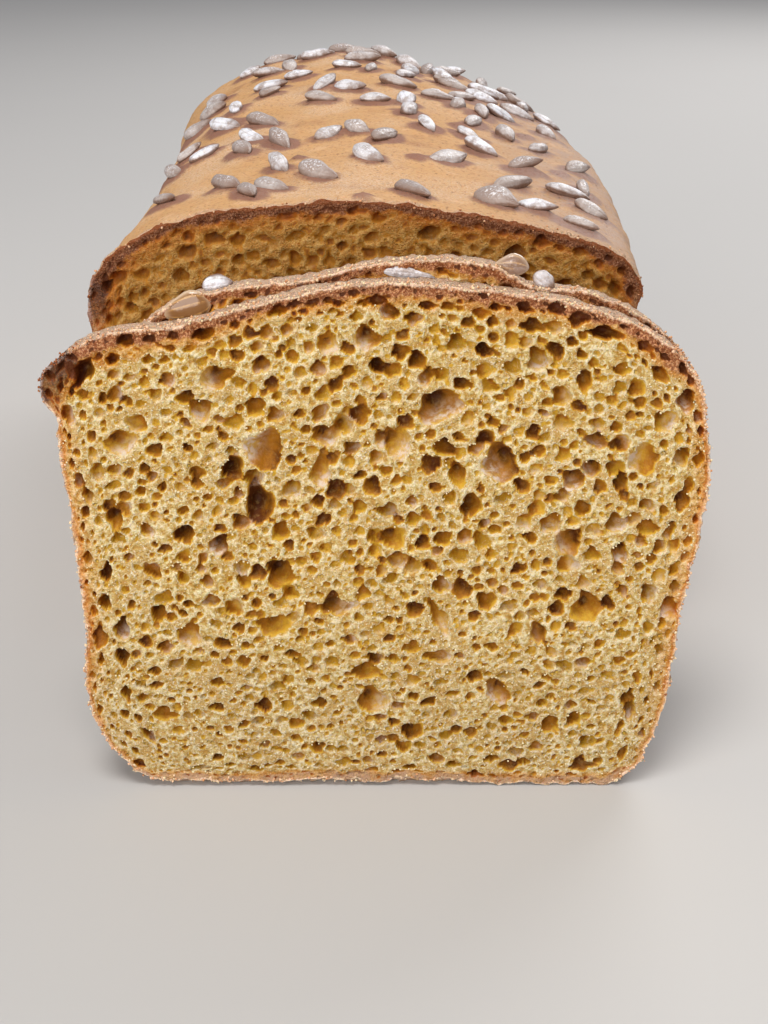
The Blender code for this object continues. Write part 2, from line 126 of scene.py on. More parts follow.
FRONT = Section(
    foot=(39.0, 42.0),
    left=((-52.9, 14), (-53.9, 36), (-56.2, 63), (-57.3, 71.5), (-59.2, 77.0), (-56.4, 82.6),
          (-49.6, 87.0), (-34.5, 89.2), (-20.4, 93.1)),
    right=((53.7, 14), (56.8, 37), (60.0, 65), (58.8, 73.5), (57.0, 79.6), (53.2, 84.4),
           (47.6, 88.3), (36.3, 92.5), (22.0, 95.0)),
    crown=(-2.6, 96.3),
)
SECOND = Section(
    foot=(39.0, 42.0),
    left=((-52.8, 14), (-53.8, 36), (-55.2, 60), (-55.6, 75), (-52.8, 80.2), (-44.0, 85.4),
          (-36.8, 90.6), (-26.0, 93.7), (-14.6, 94.9)),
    right=((53.4, 14), (56.4, 37), (59.2, 62), (59.2, 74.5), (55.8, 81.6), (48.4, 88.3),
           (38.0, 92.8), (28.6, 94.0), (21.0, 97.5)),
    crown=(4.0, 98.5),
)
LOAF = Section(
    foot=(40.0, 41.0),
    left=((-52.6, 15), (-54.0, 37), (-57.6, 62), (-58.6, 74), (-58.4, 82.6), (-56.0, 86.8),
          (-49.6, 92.0), (-37.6, 97.1), (-21.0, 99.2)),
    right=((52.6, 15), (53.4, 38), (54.0, 64), (53.2, 75), (54.6, 82), (52.8, 86.4),
           (46.6, 90.6), (35.0, 94.2), (18.0, 97.8)),
    crown=(-4.0, 100.4),
)

# The larger holes of the front face: across, up, width, height, depth, turn in degrees, and how
# brown they are, from 0 to 1.
Hole = namedtuple("Hole", "x z wide high deep turn tone")
SHOWN_HOLES = [
    Hole(*sizes)
    for sizes in (
        (-20.9, 56.6, 6.0, 7.6, 4.6, 10, 0.9), (-25.5, 63.2, 4.4, 4.9, 4.2, 0, 0.85),
        (-20.1, 66.7, 8.0, 7.6, 3.4, 0, 0.5), (11.5, 74.5, 8.8, 6.4, 3.8, 20, 0.55),
        (22.3, 64.0, 6.4, 8.4, 3.6, 15, 0.6), (-1.6, 86.7, 4.5, 5.2, 3.0, 0, 0.5),
        (19.2, 84.6, 3.8, 2.8, 3.6, 0, 1.0), (40.4, 87.6, 6.6, 3.2, 4.2, -8, 1.0),
        (0.5, 81.9, 3.6, 3.0, 4.2, 0, 1.0), (3.3, 50.1, 6.0, 4.6, 2.8, 0, 0.4),
        (-7.1, 36.6, 9.2, 3.7, 2.8, 4, 0.5), (-17.5, 42.9, 5.5, 5.9, 4.0, 0, 0.6),
        (-18.7, 32.8, 6.6, 4.8, 2.6, 0, 0.4), (-34.5, 30.9, 5.2, 4.8, 2.6, 0, 0.4),
        (-40.2, 35.3, 3.2, 3.8, 3.4, 0, 0.7), (-31.1, 73.9, 4.4, 4.4, 3.2, 0, 0.45),
        (-28.4, 79.7, 7.0, 4.4, 2.6, 12, 0.4), (-45.4, 67.9, 6.2, 5.2, 2.4, 0, 0.3),
        (-47.3, 53.6, 3.2, 4.6, 3.0, 0, 0.7), (38.9, 36.0, 5.9, 6.8, 2.9, 10, 0.45),
        (35.0, 49.0, 5.8, 5.4, 2.8, 0, 0.5), (44.7, 46.8, 3.2, 5.2, 3.0, 0, 0.55),
        (49.4, 51.7, 4.0, 3.5, 2.6, 30, 0.5), (20.5, 37.7, 3.9, 4.1, 3.0, 0, 0.6),
        (35.6, 60.8, 4.5, 4.5, 3.2, 0, 0.6), (44.3, 60.2, 3.0, 4.2, 3.4, 10, 0.8),
        (48.1, 64.7, 6.1, 5.6, 2.4, 0, 0.3), (39.5, 68.1, 4.8, 3.2, 3.0, -10, 0.6),
        (12.3, 49.8, 3.4, 3.4, 3.0, 0, 0.6), (-0.4, 17.8, 6.2, 5.6, 2.6, 0, 0.4),
        (-1.7, 23.7, 6.0, 3.8, 2.8, 8, 0.5), (30.1, 31.3, 3.4, 4.5, 2.8, 15, 0.55),
        (11.9, 26.6, 6.9, 3.1, 2.6, -6, 0.4), (22.8, 19.4, 4.4, 6.2, 2.4, 35, 0.5),
        (7.0, 11.5, 4.8, 3.8, 2.8, 0, 0.7), (33.0, 12.6, 3.8, 3.8, 2.6, 0, 0.6),
        (-40.0, 15.0, 5.3, 3.1, 2.4, 0, 0.5), (11.9, 33.9, 3.7, 7.8, 2.4, 25, 0.3),
        (-8.7, 69.3, 5.2, 4.6, 2.8, 0, 0.45), (-9.8, 62.4, 4.3, 6.2, 2.4, 0, 0.35),
        (14.8, 61.8, 3.6, 5.2, 3.0, 10, 0.5), (37.0, 79.0, 3.2, 4.3, 3.0, 10, 0.7),
        (3.9, 67.8, 5.2, 7.0, 2.6, 10, 0.3), (-51.4, 80.9, 3.5, 7.2, 4.6, -28, 0.9),
        (27.7, 88.8, 5.0, 2.8, 2.9, -12, 0.85),
        (-45.2, 57.9, 2.7, 2.6, 1.8, 0, 0.6), (43.9, 67.8, 3.8, 3.7, 2.2, 0, 0.6),
        (16.3, 50.2, 3.3, 3.1, 2.0, 0, 0.6), (39.3, 3.9, 6.7, 2.8, 1.6, 4, 0.8),
        (25.2, 4.2, 4.6, 2.6, 1.6, 0, 0.8), (-51.2, 30.6, 3.0, 5.2, 1.6, -4, 0.75),
        (1.0, 68.5, 2.5, 4.4, 1.6, 0, 0.5), (24.0, 86.3, 3.2, 3.5, 2.0, 0, 0.3),
        (-8.3, 85.8, 4.2, 4.6, 2.0, 0, 0.35), (-18.9, 87.8, 3.0, 3.0, 1.8, 0, 0.5),
        (-15.4, 88.3, 2.6, 2.6, 1.6, 0, 0.5), (-56.9, 80.0, 1.9, 2.1, 2.2, 0, 1.0),
        (6.8, 90.2, 3.5, 2.8, 2.0, 0, 0.6), (31.6, 92.0, 3.1, 2.6, 2.2, 0, 1.0),
        (0.3, 93.4, 4.5, 2.4, 2.2, 0, 0.95), (9.2, 92.6, 4.2, 1.9, 2.0, 0, 0.95),
        (21.2, 92.2, 3.8, 1.6, 2.0, 0, 0.9), (-6.4, 92.9, 3.1, 1.5, 1.8, 0, 0.9),
        (-55.1, 81.9, 1.3, 3.4, 2.4, -24, 1.0), (-53.3, 83.6, 2.4, 1.5, 2.0, -20, 1.0),
        (-57.6, 76.9, 1.6, 1.9, 2.0, 10, 1.0), (-55.6, 78.2, 1.1, 3.2, 2.4, -12, 1.0),
        (-53.7, 77.4, 1.1, 3.0, 2.0, -8, 1.0),
    )
]

# Kernels that can be told apart on the dome: across the loaf, along it from the cut face, turn
# from straight across in degrees, and size.
Kernel = namedtuple("Kernel", "x along turn size")
SHOWN_KERNELS = [
    Kernel(*place)
    for place in (
        (-31.4, 21, -50, 1.0), (-26.0, 12, -74, 0.9), (-21.0, 34, -70, 1.05), (-21.6, 17, -40, 0.9),
        (-22.4, 64, -66, 1.05), (-31.0, 58, -66, 0.9), (-29.6, 71, -47, 0.85), (-41.2, 71, 39, 0.9),
        (-46.0, 82, 31, 0.8), (-48.6, 72, -55, 0.9), (-38.2, 96, -42, 1.1), (-28.0, 88, -41, 1.1),
        (-45.6, 28, -43, 0.8), (-12.0, 25, -42, 1.05), (-1.2, 40, -58, 1.12), (2.5, 60, 58, 1.0),
        (-4.0, 68, -50, 0.9), (-11.0, 67, 48, 0.9), (7.8, 11, -56, 1.15), (9.0, 92, 70, 0.9),
        (0.2, 106, 0, 0.8), (8.2, 106, -76, 0.9), (12.8, 76, -70, 0.9), (33.0, 86, -76, 1.0),
        (27.8, 105, -80, 0.9), (25.4, 93, 64, 0.85), (23.0, 76, -49, 0.8), (16.6, 46, 38, 1.1),
        (25.2, 62, -43, 1.0), (30.4, 32, 40, 1.12), (25.4, 14, -44, 1.15), (34.2, 14, -20, 0.85),
        (42.9, 36, -12, 1.0), (49.0, 67, 41, 0.85), (47.6, 45, -80, 0.8), (45.2, 104, -60, 0.85),
        (40.4, 78, 54, 0.8), (47.0, 27, -16, 0.8), (42.6, 9, -29, 0.8), (34.8, 50, 10, 0.8),
    )
]

# Kernels that lie under the crust: across the loaf, along it from the cut face, and how wide
# their stain is.
COVERED_KERNELS = (
    (9.6, 43.0, 3.0), (34.9, 50.5, 3.6), (34.7, 14.4, 4.6), (-2.4, 3.0, 2.8), (-17.0, 44.0, 2.6),
    (-40.6, 106.0, 5.2), (-35.4, 101.0, 4.4), (-29.6, 98.0, 3.2), (43.5, 58.0, 3.0),
    (21.0, 88.0, 3.0), (38.5, 95.0, 3.4),
)

# Kernels that stand upright in the second slice's top crust: across, up and behind the cut
# face, length, height, turn in degrees, how white they are, how clear and amber, and how thick
# they are left where the knife cut them.
EdgeKernel = namedtuple("EdgeKernel", "x z depth long high turn white amber thick")
EDGE_KERNELS = [
    EdgeKernel(*place)
    for place in (
        (-33.9, 90.1, 0.5, 9.6, 5.6, 194, 0.3, 1.0, 2.1),
        (-28.3, 93.9, 3.0, 5.8, 3.2, 8, 1.0, 0.0, 3.0),
        (24.3, 97.3, 1.3, 6.4, 3.7, 175, 0.6, 0.75, 2.3),
        (30.3, 94.6, 1.7, 4.6, 3.4, -35, 0.7, 0.2, 3.0),
        (6.4, 95.9, 0.4, 10.6, 2.3, -8, 1.0, 0.15, 1.5),
    )
]

# ---- the camera ---------------------------------------------------------------------------

CAMERA_PLACE = (0.0, -386.3, 165.0)
CAMERA_PITCH = 23.3  # degrees down
CAMERA_YAW = 0.34  # degrees to the right
FOCAL_PIXELS = 1540.0  # on the picture's long side
PICTURE_LONG_SIDE = 1024
SENSOR = 36.0


class BreadSizes(bpy.types.PropertyGroup):
    """Sizes of the crumb, the crust and the kernels."""

    fine_cell: bpy.props.FloatProperty(
        name="Fine cell", description="Width of a mesh cell on the front slice's cut face",
        default=0.37 * MM, unit="LENGTH")
    plain_cell: bpy.props.FloatProperty(
        name="Plain cell", description="Width of a mesh cell on the other cut faces",
        default=0.58 * MM, unit="LENGTH")
    crust_cell: bpy.props.FloatProperty(
        name="Crust cell", description="Width of a mesh cell round the loaf's crust",
        default=1.05 * MM, unit="LENGTH")
    pores_tried: bpy.props.IntProperty(
        name="Pores tried", description="Places that are tried for pores on one cut face",
        default=12500)
    crust_grain: bpy.props.FloatProperty(
        name="Crust grain", description="Height of the crust's own roughness",
        default=0.22 * MM, unit="LENGTH")
    kernel_length: bpy.props.FloatProperty(
        name="Kernel length", description="Length of a sunflower kernel",
        default=10.6 * MM, unit="LENGTH")
    kernel_width: bpy.props.FloatProperty(
        name="Kernel width", description="Width of a sunflower kernel",
        default=4.5 * MM, unit="LENGTH")


def color_property(name, description, color):
    return bpy.props.FloatVectorProperty(
        name=name, description=description, default=color, size=3, subtype="COLOR",
        min=0.0, max=1.0)


class BreadColors(bpy.types.PropertyGroup):
    """Colours of the crumb, the crust, the kernels and the floor."""

    crumb: color_property("Crumb", "The cut walls between the pores", (0.585, 0.42, 0.15))
    crumb_pale: color_property("Pale crumb", "The palest crumb", (0.79, 0.66, 0.41))
    crumb_warm: color_property("Warm crumb", "Where the crumb is more orange", (0.58, 0.355, 0.11))
    # Painted shade as well as the crumb's deeper tone: it is laid into the hollows between grains.
    crumb_deep_and_shade: color_property("Deep crumb", "Between the crumb's grains", (0.44, 0.225, 0.035))
    # The pores darken from gold to brown with depth and on their steep side: painted shade over the
    # crumb's own gold.
    pore_gold: color_property("Gold pore", "Inside the shallow pores", (0.57, 0.325, 0.027))
    pore_amber: color_property("Amber pore", "Inside the deeper pores", (0.36, 0.138, 0.007))
    pore_brown: color_property("Brown pore", "Inside the deepest pores", (0.10, 0.024, 0.002))
    # Its paleness is partly painted light on the lit side of the pores.
    pore_film: color_property("Film", "The clear film in some pores", (0.62, 0.50, 0.40))
    crust: color_property("Crust", "The baked crust of the dome", (0.58, 0.322, 0.137))
    crust_toasted: color_property("Toasted crust", "Where it is browner", (0.36, 0.165, 0.07))
    crust_tan: color_property("Tan crust", "Grains of the cut crust", (0.62, 0.30, 0.14))
    crust_brown: color_property("Brown crust", "The cut crust", (0.25, 0.072, 0.02))
    crust_dark: color_property("Dark crust", "Where the crust is burnt", (0.08, 0.031, 0.018))
    # On the rim of a cut it is partly painted glow.
    crust_pale: color_property("Pale crust", "The crust's rim and flour", (0.86, 0.61, 0.43))
    # Partly painted shadow round the kernels.
    crust_stain_and_shadow: color_property("Stained crust", "Beside some kernels", (0.25, 0.115, 0.08))
    kernel: color_property("Kernel", "The kernels", (0.47, 0.405, 0.375))
    # Its bluish tint is a painted reflection of the sky over the kernels' own whiteness.
    kernel_white_and_sky: color_property("White kernel", "The palest kernels", (0.77, 0.77, 0.82))
    kernel_brown: color_property("Toasted kernel", "The toasted kernels", (0.19, 0.105, 0.07))
    kernel_amber: color_property("Clear kernel", "Where a kernel is cut", (0.23, 0.105, 0.035))
    floor: color_property("Floor", "The plain floor", (0.52, 0.505, 0.49))


# ---- curves and sections ------------------------------------------------------------------


def smooth(t):
    """A share that starts and ends gently."""
    t = np.clip(t, 0.0, 1.0)
    return t * t * (3 - 2 * t)


def tangent(before, here, after):
    """The direction of a smooth curve at its middle one of three points."""
    direction = np.zeros(2)
    for step in (here - before, after - here):
        if step.any():
            direction += step / (step @ step)
    return direction / np.linalg.norm(direction)


def spline(points, steps):
    """A smooth run through the points, with so many steps between each two."""
    run = []
    t = np.arange(steps)[:, None] / steps
    for i in range(len(points) - 1):
        here, there = points[i], points[i + 1]
        chord = np.linalg.norm(there - here)
        leave = tangent(points[max(i - 1, 0)], here, there) * chord
        arrive = tangent(here, there, points[min(i + 2, len(points) - 1)]) * chord
        run.append(here * (2 * t**3 - 3 * t**2 + 1) + leave * (t**3 - 2 * t**2 + t)
                   + there * (3 * t**2 - 2 * t**3) + arrive * (t**3 - t**2))
    return np.concatenate(run)


def corner(foot, side):
    """The rounded bottom corner, from the flat bottom to where the wall starts."""
    arc = np.radians(np.linspace(0, CORNER_ARC, 24))
    across = side * (foot + CORNER_RADIUS * CORNER_SQUEEZE * np.sin(arc))
    return np.stack([across, CORNER_RADIUS * (1 - np.cos(arc))], axis=1)


def resampled(line, count):
    """The same line with count equal steps."""
    reach = np.concatenate([[0], np.cumsum(np.linalg.norm(np.diff(line, axis=0), axis=1))])
    places = np.linspace(0, reach[-1], count + 1)
    return np.stack([np.interp(places, reach, line[:, k]) for k in (0, 1)], axis=1)


class Patch:
    """Spreads the unit square over a section, with its corners at the bottom's and the lips'."""

    FINE = 600

    def __init__(self, section):
        foot_left, foot_right = section.foot
        low_right, low_left = corner(foot_right, 1), corner(foot_left, -1)
        half = len(low_right) // 2
        left = [np.array(p, float) for p in section.left]
        right = [np.array(p, float) for p in section.right]
        over = [low_right[-1], *right, np.array(section.crown, float), *left[::-1], low_left[-1]]
        steps, lip = 24, 5
        run = spline(over, steps)
        lip_right, lip_left = lip * steps, (len(over) - 1 - lip) * steps
        run = np.concatenate([run, low_left[-1:]])
        self.sides = {
            "bottom": np.concatenate([low_left[half::-1], low_right[:half + 1]]),
            "right": np.concatenate([low_right[half:-1], run[:lip_right + 1]]),
            "top": run[lip_right:lip_left + 1][::-1],
            "left": np.concatenate([run[lip_left:], low_left[-2:half - 1:-1]])[::-1],
        }
        self.sides = {name: resampled(line, self.FINE) for name, line in self.sides.items()}
        self.ring = np.concatenate([
            self.sides["bottom"], self.sides["right"], self.sides["top"][::-1],
            self.sides["left"][::-1],
        ])

    def on(self, side, t):
        """The place on one side at a share of its length."""
        places = np.linspace(0, 1, self.FINE + 1)
        line = self.sides[side]
        return np.stack([np.interp(t, places, line[:, k]) for k in (0, 1)], axis=1)

    def spread(self, u, v):
        """Places in the section for places in the unit square."""
        low, high, left, right = (self.on(s, t) for s, t in (
            ("bottom", u), ("top", u), ("left", v), ("right", v)))
        u, v = u[:, None], v[:, None]
        corners = ((1 - u) * (1 - v) * self.sides["bottom"][0]
                   + u * (1 - v) * self.sides["bottom"][-1]
                   + (1 - u) * v * self.sides["top"][0] + u * v * self.sides["top"][-1])
        return (1 - v) * low + v * high + (1 - u) * left + u * right - corners


def tree_of(places):
    """A search tree for places in two columns."""
    tree = kdtree.KDTree(len(places))
    for i, (x, z) in enumerate(places):
        tree.insert((x, 0, z), i)
    tree.balance()
    return tree


def ring_distances(ring, places):
    """How far each place lies from a closed ring of points."""
    tree = tree_of(ring)
    return np.array([tree.find((x, 0, z))[2] for x, z in places])


def directions(out):
    """Rows of numbers as directions, each of length 1."""
    return out / (np.linalg.norm(out, axis=1)[:, None] + 1e-9)


def with_third(places, third=0.0):
    """Places in two columns with a third one beside them."""
    return np.column_stack([places, np.full(len(places), third)])


def turned(x, y, degrees):
    """Places as seen along a direction so many degrees from straight across."""
    turn = math.radians(degrees)
    return x * math.cos(turn) + y * math.sin(turn), y * math.cos(turn) - x * math.sin(turn)


def rotation(degrees, axis):
    return Matrix.Rotation(math.radians(degrees), 4, axis)


def leaned(x, depth, up, foot_y):
    """Places in a leaning slice, from how far they lie behind its face and up that face."""
    lean = math.radians(SLICE_LEAN)
    y = foot_y + depth * math.cos(lean) + up * math.sin(lean)
    return np.stack([x, y, np.maximum(up * math.cos(lean) - depth * math.sin(lean), 0)], axis=1)


def depth_in_slice(places, foot_y):
    """How far places lie behind the face of the slice whose foot stands at foot_y."""
    lean = math.radians(SLICE_LEAN)
    return (places[:, 1] - foot_y) * math.cos(lean) - places[:, 2] * math.sin(lean)


def lumps(x, y, z):
    """How far the dough stands out at some places: more on the dome than on the walls."""
    lip, above_lip, shift = 80, 12, 3
    size = WALL_LUMPS + (TOP_LUMPS - WALL_LUMPS) * np.clip((z - lip) / above_lip, 0, 1)
    across, along, up = LUMP_SPREAD
    return size * noise_at(x / across, y / along, z / up + shift)


def noise_at(x, y, z):
    """Smooth noise from -1 to 1 at some places."""
    return np.array([noise.noise(place) for place in zip(x.tolist(), y.tolist(), z.tolist())])


def rough(places, width, seed=0.0):
    """Smooth noise over places given in rows of three, with lumps about as wide as said."""
    x, y, z = (places / width + seed).T
    return noise_at(x, y, z)


def loaf_places(px, pz, along, turn):
    """Where places of the loaf's section lie, at a length along it or a turn round its end."""
    share = along / BODY_LENGTH
    end = 1 - np.cos(turn)
    bow = BOW * np.sin(math.tau * BOW_WAVES * share)
    wall_drop, crown_drop = END_DROP
    high = np.clip((pz - WALL_TOP) / DOME_HEIGHT, 0, 1)
    reach = END_ROUND_WALL + (END_ROUND_TOP - END_ROUND_WALL) * high
    x = px * (1 - END_NARROWING * end) + bow
    y = along + smooth(share) * (END_ROUND_TOP - reach) + reach * np.sin(turn)
    lift = RISE * smooth(share / RISE_SHARE) * high**2
    slump = SHOULDER_FALL * smooth(2 * share - 1) * high * (px / HALF_WIDTH) ** 2
    fall = end * (wall_drop + crown_drop * high) * np.minimum(pz / WALL_TOP, 1)
    z = np.maximum(pz + lift - slump - fall, 0.0)
    out = directions(np.stack([px, np.zeros_like(px), np.maximum(pz - WALL_TOP, 0)], axis=1))
    fade = np.minimum(pz / LUMPS_FADE[0], 1) * np.minimum(along / LUMPS_FADE[1], 1)
    places = np.stack([x, y + LOAF_Y, z], axis=1)
    return places + out * (lumps(x, y, pz) * fade)[:, None]


# ---- a box of cells -----------------------------------------------------------------------


def cells(length, width):
    return max(int(round(length / width)), 2)


def grid_of(span, width):
    """How many cells of a width fit across and up a face."""
    across, up = span
    return cells(across, width), cells(up, width)


def on_edge(u, v):
    """Which places lie on the edge of the unit square."""
    return np.maximum(np.abs(u - 0.5), np.abs(v - 0.5)) > 0.5 - TINY


def box_of_cells(front, back, depths, from_back=False):
    """A closed unit box: a grid of cells in front and one behind, and walls in depth steps.

    The walls grow from the front grid's edge, or from the back one's, and are joined to the
    other grid. A place's X, Y and Z are its share across, its share of the depth and its share
    up.
    """
    bm = bmesh.new()
    lay = Matrix.Translation((0.5, 0, 0.5)) @ rotation(90, "X")
    rims = []
    for (across, up), depth in ((front, 0.0), (back, 1.0)):
        grid = bmesh.ops.create_grid(
            bm, x_segments=across, y_segments=up, size=0.5,
            matrix=Matrix.Translation((0, depth, 0)) @ lay)
        faces = {face for vert in grid["verts"] for face in vert.link_faces}
        rims.append([e for face in faces for e in face.edges if e.is_boundary])
    front_rim, back_rim = rims
    edge = back_rim if from_back else front_rim
    for depth in (depths[::-1] if from_back else depths):
        grown = bmesh.ops.extrude_edge_only(bm, edges=edge)["geom"]
        for item in grown:
            if isinstance(item, bmesh.types.BMVert):
                item.co.y = depth
        edge = [e for e in grown if isinstance(e, bmesh.types.BMEdge) and e.is_boundary
                and all(abs(vert.co.y - depth) < TINY for vert in e.verts)]
    bmesh.ops.bridge_loops(bm, edges=edge + (front_rim if from_back else back_rim))
    bmesh.ops.recalc_face_normals(bm, faces=bm.faces)
    return bm


def mesh_of(name, bm):
    mesh = bpy.data.meshes.new(name)
    bm.to_mesh(mesh)
    bm.free()
    return mesh


def read_places(mesh):
    places = np.empty(len(mesh.vertices) * 3, np.float32)
    mesh.vertices.foreach_get("co", places)
    return places.reshape(-1, 3).astype(float)


def read_value(mesh, name):
    value = np.empty(len(mesh.vertices), np.float32)
    mesh.attributes[name].data.foreach_get("value", value)
    return value


def write_places(mesh, places):
    mesh.vertices.foreach_set("co", np.ascontiguousarray(places * MM, np.float32).ravel())
    mesh.update()


def plain_values(count, bake):
    """The numbers of a mesh's points, before those of its cut faces are put in."""
    fills = {"rim": NO_RIM, "deep": 0.0, "tone": 0.0, "film": 0.0, "crust": 0.0, "gap": 0.0,
             "bake": bake, "shade": 0.0}
    return {name: np.full(count, fill) for name, fill in fills.items()}


def face_depths(mesh, depth):
    """The least and the greatest depth at each face's corners."""
    corners = np.empty(len(mesh.loops), np.int32)
    mesh.loops.foreach_get("vertex_index", corners)
    starts = np.empty(len(mesh.polygons), np.int32)
    mesh.polygons.foreach_get("loop_start", starts)
    depth = depth[corners]
    return np.minimum.reduceat(depth, starts), np.maximum.reduceat(depth, starts)


def paint_crust(mesh, is_crust):
    """Gives the faces of the crust the second material."""
    mesh.polygons.foreach_set("material_index", is_crust.astype(np.int32))


def write_values(mesh, **values):
    """Keeps numbers on the points of a mesh for its material."""
    for name, value in values.items():
        attribute = mesh.attributes.new(name, "FLOAT", "POINT")
        attribute.data.foreach_set("value", np.ascontiguousarray(value, np.float32))


def shown(mesh, materials, nodes):
    """The finished piece: smooth, with its materials, riding on the bread and replacing nodes."""
    for name in materials:
        mesh.materials.append(material(name))
    mesh.shade_smooth()
    piece = bpy.data.objects.new(mesh.name, mesh)
    bpy.context.scene.collection.objects.link(piece)
    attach(piece, "root")
    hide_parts(*nodes)


# ---- pores --------------------------------------------------------------------------------

LOAF_PORE_TONE = 0.72  # how brown the loaf's pores are beside the slices'
NO_RIM = 1.5  # stands for the distance to a pore's rim wherever none is as near as that
FINE_BELOW = 32.0  # the pores below this height are smaller, flatter and more level
ALONG_CRUST = 8.0  # the pores nearer to the crust than this lie along it
RING_STEP = 4  # of the outline's points, every so many are enough to keep pores inside

# How thick the crust is where it is cut: on a wall, and how much more it is on the dome, where it
# is burnt, and at the foot.
CRUST_THICK = namedtuple("Thicknesses", "wall dome burnt foot")(0.6, 1.4, 4.0, 1.0)

# Kinds of scattered pore: narrowest, widest, and which share of all places is tried for it.
PORE_KINDS = ((2.3, 4.4, 0.26), (1.4, 2.6, 0.50), (0.75, 1.4, 0.45))


def scattered_pores(seed, ring, count, taken=(), thick=0.35):
    """Pores at random between those that are taken: the large ones first, then smaller ones.

    They are finer and flatter near the bottom, lie along the crust near the walls and the dome,
    and are browner the nearer they are to the top crust. They keep clear of a crust so thick.
    """
    rng = random.Random(seed)
    low, high = ring.min(0), ring.max(0)
    edges = tree_of(ring)
    places = np.array([(h.x, h.z, math.sqrt(h.wide * h.high) / 2) for h in taken]
                      or [(0, -99, 1)])
    pores = list(taken)
    inside = inside_of(ring)
    for narrow, wide, share in PORE_KINDS:
        for _ in range(int(count * share)):
            x, z = rng.uniform(low[0], high[0]), rng.uniform(low[1], high[1])
            size = narrow + (wide - narrow) * rng.random() ** 1.5
            flat, turn, tone = rng.uniform(0.62, 1.0), rng.gauss(0, 30), rng.random()
            skew, depth, bare = rng.random(), rng.uniform(0.45, 0.95), rng.random()
            if not inside(x, z):
                continue
            _, index, gap = edges.find((x, 0, z))
            if z < FINE_BELOW:
                size *= 0.86
                flat *= 0.85
                turn *= 0.5
            if gap < size * 0.45 + thick:
                continue
            away = np.hypot(places[:, 0] - x, places[:, 1] - z) - places[:, 2]
            if away.min() < size * 0.5 * (0.36 + 0.66 * skew):
                continue
            if size > 1.3 and bare > 0.85 + 1.3 * noise.noise((x / 13, z / 13, len(ring))):
                continue
            if gap < ALONG_CRUST:
                along = ring[(index + 3) % len(ring)] - ring[index - 3]
                turn = math.degrees(math.atan2(along[1], along[0])) + turn * 0.3
                flat *= 0.66 + 0.34 * gap / ALONG_CRUST
                size *= 1.1
            near_top = smooth((7 - gap) / 4) * smooth((z - 62) / 10)
            tone = 0.12 + 0.74 * tone**1.5 + 0.3 * near_top + 0.08 * smooth((size - 2) / 1.5)
            pores.append(Hole(x, z, size, size * flat, size * depth, turn, min(tone, 1.0)))
            places = np.vstack([places, (x, z, size / 2)])
    return pores


def inside_of(ring):
    """A test for places inside a closed ring."""
    ax, az = ring.T
    bx, bz = np.roll(ring, -1, axis=0).T
    rise = np.where(bz == az, 1e-9, bz - az)

    def inside(x, z):
        crossed = (az > z) != (bz > z)
        return bool(np.count_nonzero(crossed & (x < ax + (bx - ax) * (z - az) / rise)) % 2)

    return inside


# What makes a pore's outline ragged: how many lobes, and their greatest size as a share.
LOBES = ((2, 0.10), (3, 0.14), (4, 0.10), (5, 0.07), (7, 0.055), (11, 0.035), (16, 0.014))


def ragged_radius(rng, pore, half, across, up):
    """How far a pore's outline lies from its middle, in the directions of some places."""
    angle = np.arctan2(up / pore.high, across / pore.wide)
    ragged = min(half / 1.5, 1.0)
    lobes = sum(
        size * ragged * rng.uniform(0.3, 1.0) * np.cos(turns * angle + rng.uniform(0, math.tau))
        for turns, size in LOBES)
    return (1 + lobes) * (pore.wide * pore.high / 4) / np.hypot(
        pore.high / 2 * np.cos(angle), pore.wide / 2 * np.sin(angle))


def inner_hole(rng, pore, half, steep):
    """The deeper pore inside a large one, on its steep side."""
    shift, size = half * rng.uniform(0.2, 0.45), rng.uniform(0.7, 1.1)
    return Hole(
        pore.x + shift * math.cos(steep), pore.z + shift * math.sin(steep), half * size,
        half * size * rng.uniform(0.7, 1.0), half * 0.35, math.degrees(steep) - 90,
        min(pore.tone + 0.3, 1.0))


